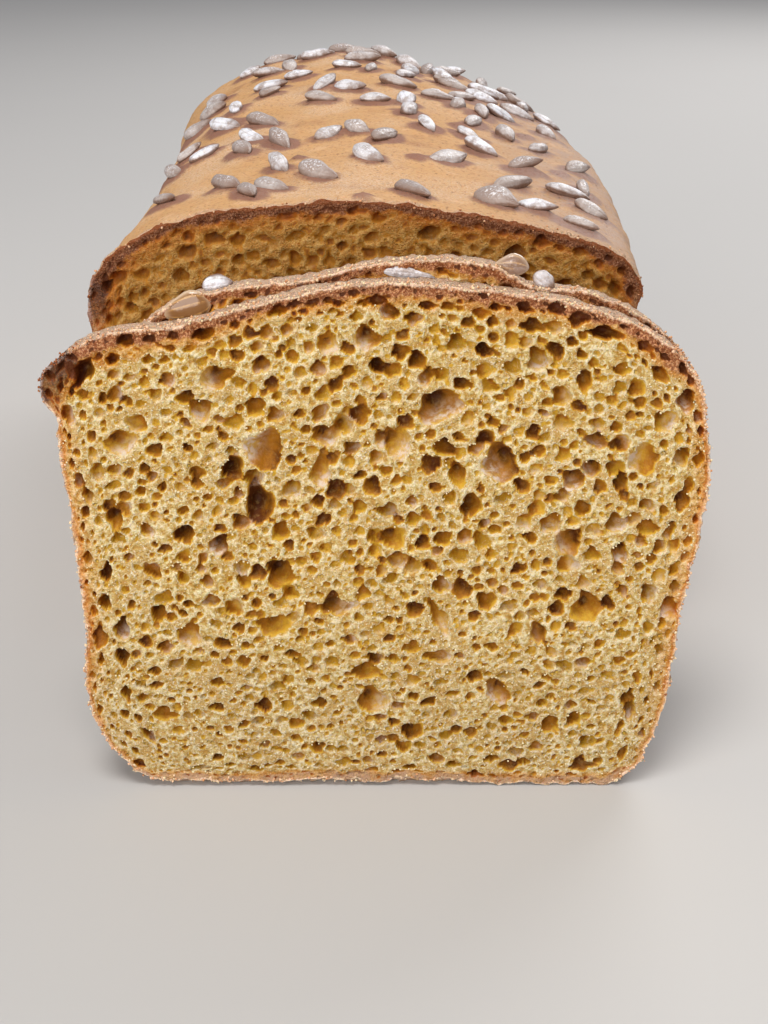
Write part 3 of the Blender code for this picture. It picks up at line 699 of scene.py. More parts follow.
def sink_pores(rng, places, pores, cell):
    """Sinks pores into a face of places in two columns.

    Gives the places with those near a pore's rim moved onto it, how deep each lies, how far it
    is from the nearest rim, less than 0 inside, how brown it is, and how much of a pale film
    covers it. How brown it is holds the pore's own tone and painted shade: a pore is steep and
    brown on one side, mostly the upper left, browner the deeper it is, and eases out pale on the
    other, where the film, partly painted light, lies. Large ones have a deeper pore inside.
    """
    places = places.copy()
    count = len(places)
    deep, tone, film = np.zeros(count), np.zeros(count), np.zeros(count)
    rim = np.full(count, NO_RIM)
    tree = tree_of(places)
    moved = np.zeros(count, bool)
    work = [(pore, False) for pore in pores]
    while work:
        pore, is_inner = work.pop(0)
        half = max(pore.wide, pore.high) / 2
        steep = math.radians(rng.gauss(120, 50))
        gentle, filmed, inner = rng.uniform(0.5, 2.0), rng.random(), rng.random()
        near = [found[1] for found in tree.find_range((pore.x, 0, pore.z), half * 1.4 + 1.2)]
        if not near:
            continue
        near = np.array(near)
        x, z = places[near, 0] - pore.x, places[near, 1] - pore.z
        across, up = turned(x, z, pore.turn)
        radius, out = ragged_radius(rng, pore, half, across, up), np.hypot(across, up)
        share, gap = out / np.maximum(radius, TINY), out - radius
        if pore.wide > cell * 3.5:
            snap = (np.abs(gap) < cell * 0.5) & ~moved[near] & (out > cell)
            pull = np.where(snap, radius / np.maximum(out, TINY), 1.0)
            places[near, 0] = pore.x + x * pull
            places[near, 1] = pore.z + z * pull
            share, gap = np.where(snap, 1.0, share), np.where(snap, 0.0, gap)
            moved[near] |= snap
        facing = np.clip((x * math.cos(steep) + z * math.sin(steep)) / half, -1, 1)
        eased = np.clip(1 - share**2, 0, 1) ** (0.42 + gentle * (0.5 - 0.5 * facing))
        hollow = pore.deep * eased * (1 + 0.25 * facing)
        inside = gap < 0
        swing = 0.28 + 0.12 * min(half / 4, 1)
        # Painted shade: browner on the steep side and the deeper the hollow, over the pore's own
        # tone.
        brown = np.clip(pore.tone + swing * facing, 0.15, 1) * smooth(hollow / 0.45)
        if is_inner:
            deep[near] += hollow
            tone[near] = np.where(inside, np.maximum(tone[near], brown), tone[near])
            continue
        deep[near] = np.maximum(deep[near], hollow)
        tone[near] = np.maximum(tone[near], brown)
        rim[near] = np.minimum(rim[near], gap)
        # Partly painted light, partly a real clear film: pale on the side away from the steep,
        # shaded side.
        often = 0.85 if half > 2.0 else 0.45
        if half > 1.2 and filmed < often and pore.tone < 0.7:
            veil = smooth(0.2 - facing * 1.2) * smooth(-gap / 0.3) * min(0.4 + filmed * 1.4, 1.1)
            film[near] = np.where(inside, veil, film[near])
        if half > 1.7 and inner < 0.65:
            work.insert(0, (inner_hole(rng, pore, half, steep), True))
    return places, deep, rim, tone, film


def burnt(x, z):
    """How burnt the crust is at places of a section: only the left lip is, and the right a bit."""
    left = np.exp(-(((x + 56.4) / 5.0) ** 2 + ((z - 80.0) / 5.4) ** 2) ** 2)
    above = 0.3 * np.exp(-(((x + 52) / 9) ** 2 + ((z - 84) / 6) ** 2))
    right = 0.25 * np.exp(-(((x - 54) / 6) ** 2 + ((z - 83) / 5) ** 2))
    return np.maximum(left, above) + right


def crust_share(patch, places):
    """How deep places of a cut face lie in the crust, and how far they are from its outside.

    The first is 0 at the outside and 1 where the crumb starts.
    """
    gap = ring_distances(patch.ring, places)
    x, z = places.T
    top = smooth((z - 72) / 12)
    thick = CRUST_THICK.wall + CRUST_THICK.dome * top + CRUST_THICK.burnt * burnt(x, z)
    thick += CRUST_THICK.foot * smooth((5 - z) / 4)
    flat = with_third(places)
    thick *= 1 + 0.5 * rough(flat, 4.0, 7.0) + 0.35 * rough(flat, 12.0, 3.0)
    return gap / np.maximum(thick, 0.35), gap


def crumbly(places, seed):
    """Places of a cut face, each moved a little, as the knife leaves them."""
    flat = with_third(places, seed)
    wide = np.stack([rough(flat, 5.0, 1.0), rough(flat, 5.0, 9.0)], axis=1) * 0.28
    fine = np.stack([rough(flat, 1.1, 2.0), rough(flat, 1.1, 8.0)], axis=1) * 0.10
    return places + wide + fine


def cut_face(patch, u, v, pores, cell, seed, deepest):
    """The places, depths and values of one cut face for places in the unit square."""
    rng = random.Random(seed)
    places = crumbly(patch.spread(u, v), seed * 7.0)
    edge = on_edge(u, v)
    sunk, deep, rim, tone, film = sink_pores(rng, places, pores, cell)
    sunk[edge] = places[edge]
    share, gap = crust_share(patch, sunk)
    flat = with_third(sunk)
    crumbs = 0.5 + 0.5 * rough(flat, 9.0, seed + 2)
    grain = (0.20 * rough(flat, 1.5, seed) + 0.13 * rough(flat, 0.85, seed + 5)) * crumbs
    broad = 0.22 * rough(flat, 6.0, seed + 11)
    sag = smooth(gap / 1.2)
    deep = np.clip(deep + (grain + broad + 0.12) * sag, 0.0, deepest)
    deep[edge] = 0.0
    return sunk, deep, {"rim": rim, "deep": deep, "tone": tone, "film": film, "crust": share,
                        "gap": gap, "bake": burnt(*sunk.T), "shade": np.zeros(len(sunk))}


# ---- materials ----------------------------------------------------------------------------

# Colours that the materials mix in beside those that a user would change.
# Painted glints on the crumb's raised grains.
PALE_GRAIN_GLINT = (0.90, 0.83, 0.64)
# Painted shade at the bottom of the deepest pores.
PORE_BOTTOM_SHADE = (0.03, 0.008, 0.002)
SHADE_IN_THE_GAP = (0.36, 0.163, 0.034)  # painted shade: the loaf's cut face, lit only through the gap
SIDE_GRAIN = (0.74, 0.45, 0.20)
FOOT_CRUST = (0.38, 0.235, 0.15)
SIDE_HOLE = (0.36, 0.10, 0.014)  # pores in the cut crust, on the sides and on top, their darkness painted shade
TOP_HOLE = (0.10, 0.024, 0.006)
BURNT_FRINGE = (0.46, 0.32, 0.27)
FLOUR = (0.80, 0.71, 0.62)
# Painted sheen and dust on the right of the dome.
SHEEN_AND_DUST_CRUST = (0.40, 0.29, 0.25)
KERNEL_GLINT = (0.86, 0.87, 0.92)  # painted highlight on the kernels' upper sides
AMBER_STREAK = (0.52, 0.28, 0.09)
AMBER_RIM = (0.58, 0.42, 0.28)
LOOSE_PALE = (0.78, 0.66, 0.41)
LOOSE_DUST = (0.76, 0.61, 0.44)

# What a colour is multiplied with.
LOW_TINT = (0.89, 0.895, 0.95)  # low on a cut face
GAP_SHADE_TINT = (0.70, 0.49, 0.24)  # painted shade on the loaf's cut face, and on the crust round it
GAP_CRUST_SHADE_TINT = (0.55, 0.50, 0.50)
FLUSH_AND_GLOW_TINT = (1.0, 0.74, 0.52)  # crumb near the walls: warmer, and partly a painted orange glow of light through the edges
BELOW_CRUST_TINT = (0.93, 0.60, 0.30)  # crumb right below the crust


class Shader:
    """A material's nodes, added one by one."""

    def __init__(self, name):
        self.material = bpy.data.materials.new(name)
        self.material.use_nodes = True
        self.tree = self.material.node_tree
        self.surface = self.tree.nodes["Principled BSDF"]
        self.coords = self.add("TexCoord").outputs["Object"]
        place = self.add("SeparateXYZ", {"Vector": self.coords})
        self.across, self.height = place.outputs["X"], place.outputs["Z"]

    def add(self, kind, inputs=None, **settings):
        node = self.tree.nodes.new("ShaderNode" + kind)
        for key, value in settings.items():
            setattr(node, key, value)
        for key, value in (inputs or {}).items():
            self.put(node.inputs[key], value)
        return node

    def put(self, socket, value):
        if isinstance(value, bpy.types.NodeSocket):
            self.tree.links.new(value, socket)
        elif socket.type == "RGBA" and len(value) == 3:
            socket.default_value = (*value, 1.0)
        else:
            socket.default_value = value

    def value(self, name):
        """A number kept on the points of the mesh."""
        return self.add("Attribute", attribute_name=name).outputs["Fac"]

    def noise(self, width, detail=2.0, roughness=0.5):
        """Noise from 0 to 1 with lumps about as wide as said, in millimetres."""
        return self.add("TexNoise", {
            "Vector": self.coords, "Scale": 1 / (width * MM), "Detail": detail,
            "Roughness": roughness}).outputs["Fac"]

    def cells(self, width):
        return self.add("TexVoronoi", {"Vector": self.coords, "Scale": 1 / (width * MM)})

    def math(self, operation, *values, clamp=False):
        node = self.add("Math", operation=operation, use_clamp=clamp)
        for socket, value in zip(node.inputs, values):
            self.put(socket, value)
        return node.outputs[0]

    def times(self, value, *others):
        for other in others:
            value = self.math("MULTIPLY", value, other)
        return value

    def plus(self, value, other):
        return self.math("ADD", value, other)

    def less(self, value, other):
        return self.math("SUBTRACT", value, other)

    def shaken(self, value, noise, amount):
        """The value moved up and down by noise, by up to half the amount."""
        return self.plus(value, self.times(self.less(noise, 0.5), amount))

    def ramp(self, value, start, end, low=0.0, high=1.0):
        """The value from start to end, spread over low to high and held beyond."""
        return self.add("MapRange", {0: value, 1: start, 2: end, 3: low, 4: high},
                        interpolation_type="SMOOTHSTEP").outputs[0]

    def mix(self, share, a, b, blend="MIX"):
        node = self.add("Mix", data_type="RGBA", blend_type=blend)
        for socket, value in ((node.inputs[0], share), (node.inputs[6], a), (node.inputs[7], b)):
            self.put(socket, value)
        return node.outputs[2]

    def tinted(self, color, tint, share=1.0):
        """The colour multiplied with another one."""
        return self.mix(share, color, tint, "MULTIPLY")

    def bump(self, height, distance):
        node = self.add("Bump", {"Height": height, "Distance": distance * MM, "Strength": 1.0})
        self.put(self.surface.inputs["Normal"], node.outputs[0])

    def finish(self, **values):
        for name, value in values.items():
            self.put(self.surface.inputs[name.replace("_", " ").title()
                                         .replace("Ior", "IOR")], value)
        return self.material


def crumb_walls(s, colors, edge, crumbs, grit, coarse):
    """The walls between the pores, with their tiny pits: paler on the raised grains and darker in
    the nooks and hollows that the bump sinks, which is painted light and shade over the crumb's
    own patchy tone, with painted glints and a painted highlight along the pore rims.
    """
    # Painted shade and light: the darker crumb lies where the crumbs noise is low and the bump
    # sinks, the pale crumb where it stands up, over the crumb's own patchy tone.
    wall = s.mix(s.ramp(crumbs, 0.36, 0.54), colors.crumb_deep_and_shade, colors.crumb)
    wall = s.mix(s.ramp(crumbs, 0.50, 0.66), wall, colors.crumb_pale)
    wall = s.mix(s.times(coarse, 0.6), wall, colors.crumb_warm)
    # Painted highlight along the pore rims, partly the pale colour of the thin lips there.
    lip = s.times(s.ramp(edge, 0.45, 0.05), s.ramp(crumbs, 0.35, 0.6, 0.0, 0.8))
    wall = s.mix(lip, wall, colors.crumb_pale)
    # Painted highlight: pale glints on the raised grit grains, for the sparkle of light on the wet
    # crumb.
    glint_speck = s.times(s.ramp(grit, 0.57, 0.68), s.ramp(coarse, 0.0, 1.0, 0.5, 0.85))
    wall = s.mix(glint_speck, wall, PALE_GRAIN_GLINT)
    # Painted shade: darker in the nooks, where the grit noise sinks the bump.
    nook = s.times(s.ramp(grit, 0.44, 0.32), s.ramp(coarse, 0.0, 1.0, 0.4, 0.8))
    wall = s.mix(nook, wall, colors.crumb_deep_and_shade)
    pits = s.cells(1.15)
    size = s.ramp(pits.outputs["Color"], 0.2, 0.9, 0.14, 0.44)
    pitted = s.ramp(s.math("DIVIDE", pits.outputs["Distance"], size), 1.05, 0.45)
    pitted = s.times(pitted, s.ramp(edge, 0.05, 0.35),
                     s.ramp(s.noise(5.0, 2.0), 0.38, 0.6, 0.25, 1.0))
    return s.mix(s.times(pitted, 0.85), wall, colors.pore_gold), pitted


def pore_insides(s, colors, dark, deep, film):
    """The pores: gold to brown and near black at the bottom, painted shade over their own gold,
    and pale where a clear film covers them, which is partly painted light.
    """
    pore = s.mix(s.ramp(dark, 0.15, 0.50), colors.pore_gold, colors.pore_amber)
    pore = s.mix(s.ramp(dark, 0.50, 0.98), pore, colors.pore_brown)
    # Painted shade: near black at the bottom of the deepest pores.
    pore = s.mix(s.ramp(deep, 2.6, 5.0, 0.0, 0.5), pore, PORE_BOTTOM_SHADE)
    mottle = s.ramp(s.noise(0.9, 3.0, 0.6), 0.5, 0.7, 0.0, 0.22)
    pore = s.mix(mottle, pore, colors.crumb_warm)
    cloudy = s.ramp(s.noise(1.3, 3.0, 0.6), 0.40, 0.62, 0.15, 1.0)
    return s.mix(s.math("MULTIPLY", film, cloudy, clamp=True), pore, colors.pore_film)


def cut_crust(s, colors, dark, high, shade, burn):
    """The crust where it is cut: tan with bright grains on the sides, brown to burnt on top,
    darker on the loaf as painted shade, and with its pores darkened as painted shade.
    """
    sugar = s.noise(0.42, 3.0, 0.7)
    baked = s.mix(s.ramp(sugar, 0.44, 0.64), colors.crust_brown, colors.crust_tan)
    # Painted shade on the loaf's cut crust.
    baked = s.mix(shade, baked, s.tinted(baked, GAP_CRUST_SHADE_TINT))
    side = s.mix(s.ramp(sugar, 0.40, 0.62), colors.crust_tan, SIDE_GRAIN)
    side = s.mix(s.ramp(s.height, 6 * MM, 2 * MM, 0.0, 0.8), side, FOOT_CRUST)
    baked = s.mix(high, side, baked)
    scorched = s.mix(s.ramp(sugar, 0.50, 0.68), colors.crust_dark, colors.crust_brown)
    baked = s.mix(s.ramp(burn, 0.25, 0.65), baked, scorched)
    # Painted shade: the pores in the cut crust go dark with their tone.
    hole = s.mix(high, SIDE_HOLE, TOP_HOLE)
    return s.mix(s.times(s.ramp(dark, 0.12, 0.4), 0.92), baked, hole)


def crumb_material(colors):
    """Cut crumb: pale rough walls, gold to brown pores, and the crust where it is cut."""
    s = Shader("cut_crumb")
    rim, tone, deep, film = (s.value(name) for name in ("rim", "tone", "deep", "film"))
    crust, gap, burn, shade = (s.value(name) for name in ("crust", "gap", "bake", "shade"))
    fuzz = s.noise(0.5, 3.0, 0.7)
    edge = s.shaken(rim, fuzz, 0.5)
    dark = s.shaken(tone, fuzz, s.ramp(tone, 0.0, 0.15, 0.0, 0.38))
    dark = s.shaken(dark, s.noise(1.8, 2.0), s.ramp(tone, 0.05, 0.3, 0.0, 0.6))
    inside = s.ramp(dark, 0.02, 0.16)

    crumbs, grit = s.noise(1.1, 3.0, 0.65), s.noise(0.38, 2.0, 0.65)
    coarse = s.ramp(s.noise(8.0, 2.0), 0.44, 0.62)
    wall, pitted = crumb_walls(s, colors, edge, crumbs, grit, coarse)
    color = s.mix(inside, wall, pore_insides(s, colors, dark, deep, film))
    color = s.mix(s.ramp(s.height, 46 * MM, 8 * MM), color, s.tinted(color, LOW_TINT))
    # Painted shade, with a warm cast, on the loaf's cut face, which the slices keep from the light.
    color = s.mix(shade, color, s.mix(0.3, s.tinted(color, GAP_SHADE_TINT), SHADE_IN_THE_GAP))

    high = s.ramp(s.height, 68 * MM, 84 * MM)
    ragged = s.noise(1.0, 4.0, 0.65)
    skin = s.shaken(crust, ragged, 1.3)
    baked = cut_crust(s, colors, dark, high, shade, burn)
    # Partly painted glow: more orange crumb along the lower walls.
    flush = s.times(s.ramp(gap, 5.0, 1.0, 0.0, 0.75), s.less(1.0, high),
                    s.ramp(s.height, 8 * MM, 26 * MM))
    color = s.mix(flush, color, s.tinted(color, FLUSH_AND_GLOW_TINT))
    color = s.mix(s.ramp(skin, 2.6, 1.1), color, s.tinted(color, BELOW_CRUST_TINT, 0.85))
    patchy = s.math("MAXIMUM", s.ramp(s.noise(2.4, 3.0), 0.36, 0.60, 0.30, 1.0), high)
    color = s.mix(s.times(s.ramp(skin, 1.30, 0.80), patchy), color, baked)
    # Partly painted glow: a pale rim of back light along the outer edge of the cut crust, over the
    # crust's own pale rim; on the loaf it is brown, as painted shade.
    fringe = s.shaken(gap, ragged, 1.6)
    pale = s.mix(s.ramp(burn, 0.2, 0.8), s.mix(shade, colors.crust_pale, colors.crust_brown),
                 BURNT_FRINGE)
    color = s.mix(s.ramp(fringe, s.ramp(high, 0.0, 1.0, 0.42, 0.80), 0.12), color, pale)

    height = s.shaken(s.less(crumbs, 0.5), grit, s.ramp(coarse, 0.0, 1.0, 0.30, 0.55))
    height = s.times(height, s.ramp(inside, 0.0, 1.0, 1.0, 0.22))
    height = s.less(height, s.times(pitted, 0.55))
    s.bump(height, 0.9)
    return s.finish(
        base_color=color, roughness=s.ramp(inside, 0.0, 1.0, 0.36, 0.62), specular_ior_level=0.22,
        subsurface_weight=0.2, subsurface_radius=(1.0, 0.5, 0.15), subsurface_scale=1.0 * MM)


def sugared_crust(s, colors, bake, crisp):
    """The crust beside a cut: pale and crisp, brown between its grains where the bump sinks,
    which is partly painted shade.
    """
    sugared = s.mix(s.times(crisp, 0.36), colors.crust_pale,
                    s.mix(0.6, colors.crust_tan, colors.crust_brown))
    patches = s.ramp(s.noise(1.3, 3.0, 0.6), 0.48, 0.62, 0.0, 0.40)
    sugared = s.mix(patches, sugared, colors.crust_tan)
    return s.mix(s.ramp(bake, 0.45, 0.9), sugared, colors.crust_dark)


def crust_material(colors):
    """Baked crust: tan, browned in patches, sugary near the cuts, with a dust of flour, a painted
    grey sheen mixed into the dust on the right of the dome, and painted shade in its hollows and
    pits.
    """
    s = Shader("baked_crust")
    bake, sugar, stain = s.value("bake"), s.value("sugar"), s.value("stain")
    broad, mottle = s.noise(24.0, 3.0), s.noise(6.0, 4.0, 0.62)
    knobs, grain = s.noise(0.9, 3.0, 0.65), s.noise(0.38, 2.0, 0.7)
    heat = s.shaken(bake, mottle, 0.8)
    color = s.mix(s.ramp(heat, 0.15, 0.65), colors.crust, colors.crust_toasted)
    color = s.mix(s.ramp(heat, 0.65, 1.0), color, colors.crust_dark)
    color = s.mix(s.ramp(heat, 0.08, -0.2, 0.0, 0.5), color, colors.crust_pale)
    # Painted shade: browner where the knobs noise is low and the bump sinks.
    color = s.mix(s.ramp(knobs, 0.5, 0.34, 0.0, 0.35), color, colors.crust_brown)
    flour = s.times(s.ramp(broad, 0.45, 0.66), s.ramp(grain, 0.42, 0.62))
    color = s.mix(s.times(flour, 0.35), color, FLOUR)
    # Stain and painted shadow round the kernels.
    smudge = s.shaken(s.shaken(stain, mottle, 0.8), knobs, 0.5)
    color = s.mix(s.ramp(smudge, 0.28, 0.72, 0.0, 0.92), color, colors.crust_stain_and_shadow)

    # Partly painted sheen: a patchy grey on the right of the dome where the light from behind
    # glances off it, and partly dust.
    right = s.times(
        s.ramp(s.across, 14 * MM, 50 * MM), s.ramp(mottle, 0.3, 0.6, 0.3, 0.75),
        s.ramp(s.height, 72 * MM, 90 * MM), s.ramp(knobs, 0.36, 0.60, 0.5, 1.0),
        s.ramp(sugar, 0.0, 1.0, 1.0, 0.2))
    color = s.mix(right, color, SHEEN_AND_DUST_CRUST)

    grains = s.cells(0.55)
    crisp = s.ramp(grains.outputs["Distance"], 0.25, 0.65)
    crisp = s.plus(s.times(crisp, 0.7), s.ramp(grain, 0.6, 0.35, 0.0, 0.5))
    color = s.mix(s.times(sugar, s.ramp(mottle, 0.3, 0.6, 0.8, 1.0)), color,
                  sugared_crust(s, colors, bake, crisp))
    # Painted shade: the pits are dark where the bump sinks them.
    pits = s.cells(1.9)
    pitted = s.times(s.ramp(pits.outputs["Distance"], 0.2, 0.08), 0.4)
    color = s.mix(pitted, color, colors.crust_dark)
    height = s.plus(s.times(knobs, 0.40), s.times(grain, 0.14))
    height = s.less(height, s.times(pitted, 0.3))
    height = s.less(height, s.times(crisp, sugar, 0.5))
    s.bump(height, 1.0)
    return s.finish(
        base_color=color, roughness=0.7, specular_ior_level=0.25,
        subsurface_weight=0.12, subsurface_radius=(1.0, 0.45, 0.2), subsurface_scale=1.2 * MM)


def kernel_material(colors):
    """Kernels: grey to white, browner below as painted shade and at one end, with fine lines along
    them and duller between them as painted shade, a painted highlight on top, and a painted bluish
    sky reflection on the white ones.
    """
    s = Shader("sunflower_kernel")
    white, length, lines, low, amber = (
        s.value(name) for name in ("white", "length", "lines", "low", "amber"))
    mottle, grain = s.noise(2.2, 4.0, 0.6), s.noise(0.45, 2.0)
    dull = s.mix(0.45, colors.kernel_brown, colors.kernel)
    color = s.mix(s.ramp(white, 0.25, 0.95), colors.kernel, colors.kernel_white_and_sky)
    color = s.mix(s.ramp(white, 0.25, 0.0), color, dull)
    color = s.mix(s.ramp(mottle, 0.42, 0.64, 0.0, 0.8), color, dull)
    # Painted shade: duller between the ribs, where the bump sinks.
    color = s.mix(s.ramp(lines, 0.40, 0.05, 0.0, 0.4), color, dull)
    color = s.mix(s.ramp(length, 0.62, 1.0, 0.0, 0.8), color, colors.kernel_brown)
    # Painted shade: toasted brown over the lower side.
    under = s.plus(low, s.times(mottle, 0.35))
    color = s.mix(s.ramp(under, 0.44, 0.70, 0.0, 0.95), color, colors.kernel_brown)
    # Painted highlight: white grains only on the upper side.
    light = s.times(s.ramp(grain, 0.50, 0.66), s.ramp(low, 0.25, 0.02))
    color = s.mix(s.times(light, 0.8), color, KERNEL_GLINT)
    streak = s.times(s.ramp(lines, 0.55, 0.9), s.ramp(mottle, 0.40, 0.55))
    clear = s.mix(streak, colors.kernel_amber, AMBER_STREAK)
    clear = s.mix(s.ramp(low, 0.16, 0.42), clear, AMBER_RIM)
    color = s.mix(amber, color, clear)
    height = s.plus(s.plus(s.times(lines, 0.06), s.times(grain, 0.10)), s.times(mottle, 0.5))
    s.bump(s.times(height, s.ramp(amber, 0.0, 1.0, 1.0, 0.08)), 1.0)
    return s.finish(
        base_color=color, roughness=s.ramp(amber, 0.0, 1.0, 0.34, 0.12),
        subsurface_weight=0.2, subsurface_radius=(1.0, 0.8, 0.6), subsurface_scale=1.0 * MM)


def loose_crumb_material(colors):
    """Loose crumbs: each one as pale as the crumb, or tan or brown as the crust."""
    s = Shader("loose_crumb")
    brown = s.value("brown")
    color = s.mix(s.ramp(brown, 0.0, 0.15), colors.crumb_pale, LOOSE_PALE)
    color = s.mix(s.ramp(brown, 0.2, 0.35), color, s.mix(0.3, colors.crust_pale, colors.crust_tan))
    color = s.mix(s.ramp(brown, 0.35, 0.65), color, colors.crust_tan)
    color = s.mix(s.ramp(brown, 0.65, 0.95), color, colors.crust_brown)
    color = s.mix(s.ramp(s.noise(0.3, 2.0), 0.5, 0.7, 0.0, 0.3), color, LOOSE_DUST)
    return s.finish(
        base_color=color, roughness=0.7, specular_ior_level=0.2,
        subsurface_weight=0.2, subsurface_radius=(1.0, 0.6, 0.3), subsurface_scale=0.5 * MM)


def floor_material(colors):
    """A plain pale floor with a very faint unevenness."""
    s = Shader("pale_floor")
    shade = s.mix(s.noise(180.0, 2.0), colors.floor, tuple(c * 0.97 for c in colors.floor))
    return s.finish(base_color=shade, roughness=0.8)


MAKERS = {"cut_crumb": crumb_material, "baked_crust": crust_material,
          "sunflower_kernel": kernel_material, "loose_crumb": loose_crumb_material,
          "pale_floor": floor_material}
BREAD_MATERIALS = ("cut_crumb", "baked_crust")


def material(name):
    """One material for all pieces of a kind."""
    return bpy.data.materials.get(name) or MAKERS[name](bpy.context.scene.bread_colors)


# ---- slices -------------------------------------------------------------------------------

# How the front slice's burnt lip is dented and then swells: how far out, at which place, and over
# which height.
LIP_SHAPES = ((-1.5, -57.5, 73.4, 2.2), (0.9, -58.0, 80.6, 1.8))
LIP_WIDTH = 4.0
MOST_TORN = 2.2  # how far up the front edge of a slice's foot is torn
HIDDEN_PORES_TRIED = 900  # on the front slice's back, which lies against the second slice


def uneven(flat, depth, foot_y, gap):
    """Where places of a slice's section go when its outline is made as uneven as baked bread.

    The outline moves in and out, and the front edge of its foot is torn up here and there. Both
    fade out inwards, and gap is how far a place lies from the outline.
    """
    places = leaned(flat[:, 0], depth * SLICE_THICKNESS, flat[:, 1], foot_y)
    out = directions(flat - np.array([0.0, MIDDLE_UP]))
    size = bpy.context.scene.bread_sizes.crust_grain / MM
    on_top = smooth((flat[:, 1] - 66) / 14)
    shift = size * (1.5 - 0.5 * on_top) * (
        1.3 * rough(places, 2.2, foot_y + 3) + 1.6 * rough(places, 5.5, foot_y + 6))
    if foot_y == FRONT_Y:
        x, z = flat.T
        for far, at_x, at_z, high in LIP_SHAPES:
            shift += far * np.exp(-(((x - at_x) / LIP_WIDTH) ** 2) - ((z - at_z) / high) ** 2)
    moved = flat + out * (shift * smooth(1 - gap / 3.5))[:, None]
    torn = 0.75 * rough(places, 8.0, foot_y + 12) + 0.7 * rough(places, 2.6, foot_y + 15)
    near_front = smooth(1 - depth * SLICE_THICKNESS / 2.5)
    torn += 0.35 + 0.9 * smooth((24 - flat[:, 0]) / 14)
    moved[:, 1] += np.clip(torn, 0.0, MOST_TORN) * smooth(1 - flat[:, 1] / 5.5) * near_front
    return moved


def wall_places(patch, u, v, depth, foot_y):
    """Places on a slice's crust, with its grain: up and across in its face."""
    flat = uneven(patch.spread(u, v), depth, foot_y, 0.0)
    places = leaned(flat[:, 0], depth * SLICE_THICKNESS, flat[:, 1], foot_y)
    out = directions(flat - np.array([0.0, MIDDLE_UP]))
    size = bpy.context.scene.bread_sizes.crust_grain / MM
    shift = size * (1.5 * rough(places, 0.8, foot_y) + 1.2 * rough(places, 1.4, foot_y + 3) - 0.5)
    shift -= size * burnt(*flat.T) * (2.6 * np.abs(rough(places, 1.9, foot_y + 9)) + 0.5)
    return flat + out * shift[:, None]


def baked(x, z):
    """How browned the crust is at places of a section: most at the lips, little on the walls."""
    lips = np.exp(-((z - 79) / 6) ** 2) * 0.25
    walls = 0.25 * smooth((76 - z) / 12)
    return 0.10 + lips + 0.9 * burnt(x, z) + walls


def make_slice(name, foot_y, section, grids, pore_sets, depth_steps, deepest):
    """One slice: a fine front face, a back face, and the crust between them."""
    patch = Patch(section)
    depths = [(k + 1) / (depth_steps + 1) for k in range(depth_steps)]
    mesh = mesh_of(name, box_of_cells(*grids, depths))
    unit = read_places(mesh)
    u, depth, v = unit.T
    places = np.zeros_like(unit)
    values = plain_values(len(unit), 0.3)
    values["sugar"] = np.ones(len(unit))
    edge = on_edge(u, v)
    flat = wall_places(patch, u[edge], v[edge], depth[edge], foot_y)
    places[edge] = leaned(flat[:, 0], depth[edge] * SLICE_THICKNESS, flat[:, 1], foot_y)
    values["bake"][edge] = baked(*flat.T)
    for i, (side, start, into) in enumerate((
            (depth < TINY, 0.0, 1), (depth > 1 - TINY, SLICE_THICKNESS, -1))):
        cell = math.sqrt(FACE_AREA / np.count_nonzero(side))
        sunk, deep, found = cut_face(
            patch, u[side], v[side], pore_sets[i], cell, i + 1, deepest[i])
        sunk = uneven(sunk, depth[side], foot_y, found["gap"])
        laid = leaned(sunk[:, 0], start + into * deep, sunk[:, 1], foot_y)
        target, inner = np.flatnonzero(side), ~edge[side]
        places[target[inner]] = laid[inner]
        for key, value in found.items():
            keep = inner if key == "bake" else slice(None)
            values[key][target[keep]] = value[keep]
    write_places(mesh, places)
    write_values(mesh, **values)
    least, greatest = face_depths(mesh, depth)
    paint_crust(mesh, greatest - least > TINY)
    return mesh


class BREAD_OT_front_slice(bpy.types.Operator):
    """Make the front slice, with the large holes that show and fine pores between them"""

    bl_idname = "bread.front_slice"
    bl_label = "Front slice"

    def execute(self, context):
        sizes = context.scene.bread_sizes
        grids = grid_of(SLICE_SPAN, sizes.fine_cell / MM), PLAIN_CELLS
        ring = Patch(FRONT).ring[::RING_STEP]
        pores = (
            scattered_pores(FRONT_SEEDS[0], ring, sizes.pores_tried, taken=SHOWN_HOLES),
            scattered_pores(FRONT_SEEDS[1], ring, HIDDEN_PORES_TRIED, thick=0.6),
        )
        mesh = make_slice("slice_front_bread", FRONT_Y, FRONT, grids, pores,
                          depth_steps=12, deepest=(4.8, 1.9))
        shown(mesh, BREAD_MATERIALS, ("slice_front",))
        return {"FINISHED"}


class BREAD_OT_second_slice(bpy.types.Operator):
    """Make the second slice, which shows its top in front and its whole back"""

    bl_idname = "bread.second_slice"
    bl_label = "Second slice"

    def execute(self, context):
        sizes = context.scene.bread_sizes
        grids = (grid_of(SLICE_SPAN, sizes.plain_cell / MM),) * 2
        ring = Patch(SECOND).ring[::RING_STEP]
        pores = [scattered_pores(seed, ring, sizes.pores_tried) for seed in SECOND_SEEDS]
        mesh = make_slice("slice_second_bread", SECOND_Y, SECOND, grids, pores,
                          depth_steps=9, deepest=(3.2, 3.2))
        shown(mesh, BREAD_MATERIALS, ("slice_second",))
        return {"FINISHED"}


# ---- the loaf -----------------------------------------------------------------------------

CUT_REACH = 4.0  # how far behind the loaf's cut its edge is torn
DOME_FROM = 60.0  # the height above which kernels may lie
DOME_MIDDLE_UP = 40.0  # the height that the crust's relief stands out from
COVERED_MOUND = 1.1  # how far the crust is raised over a covered kernel


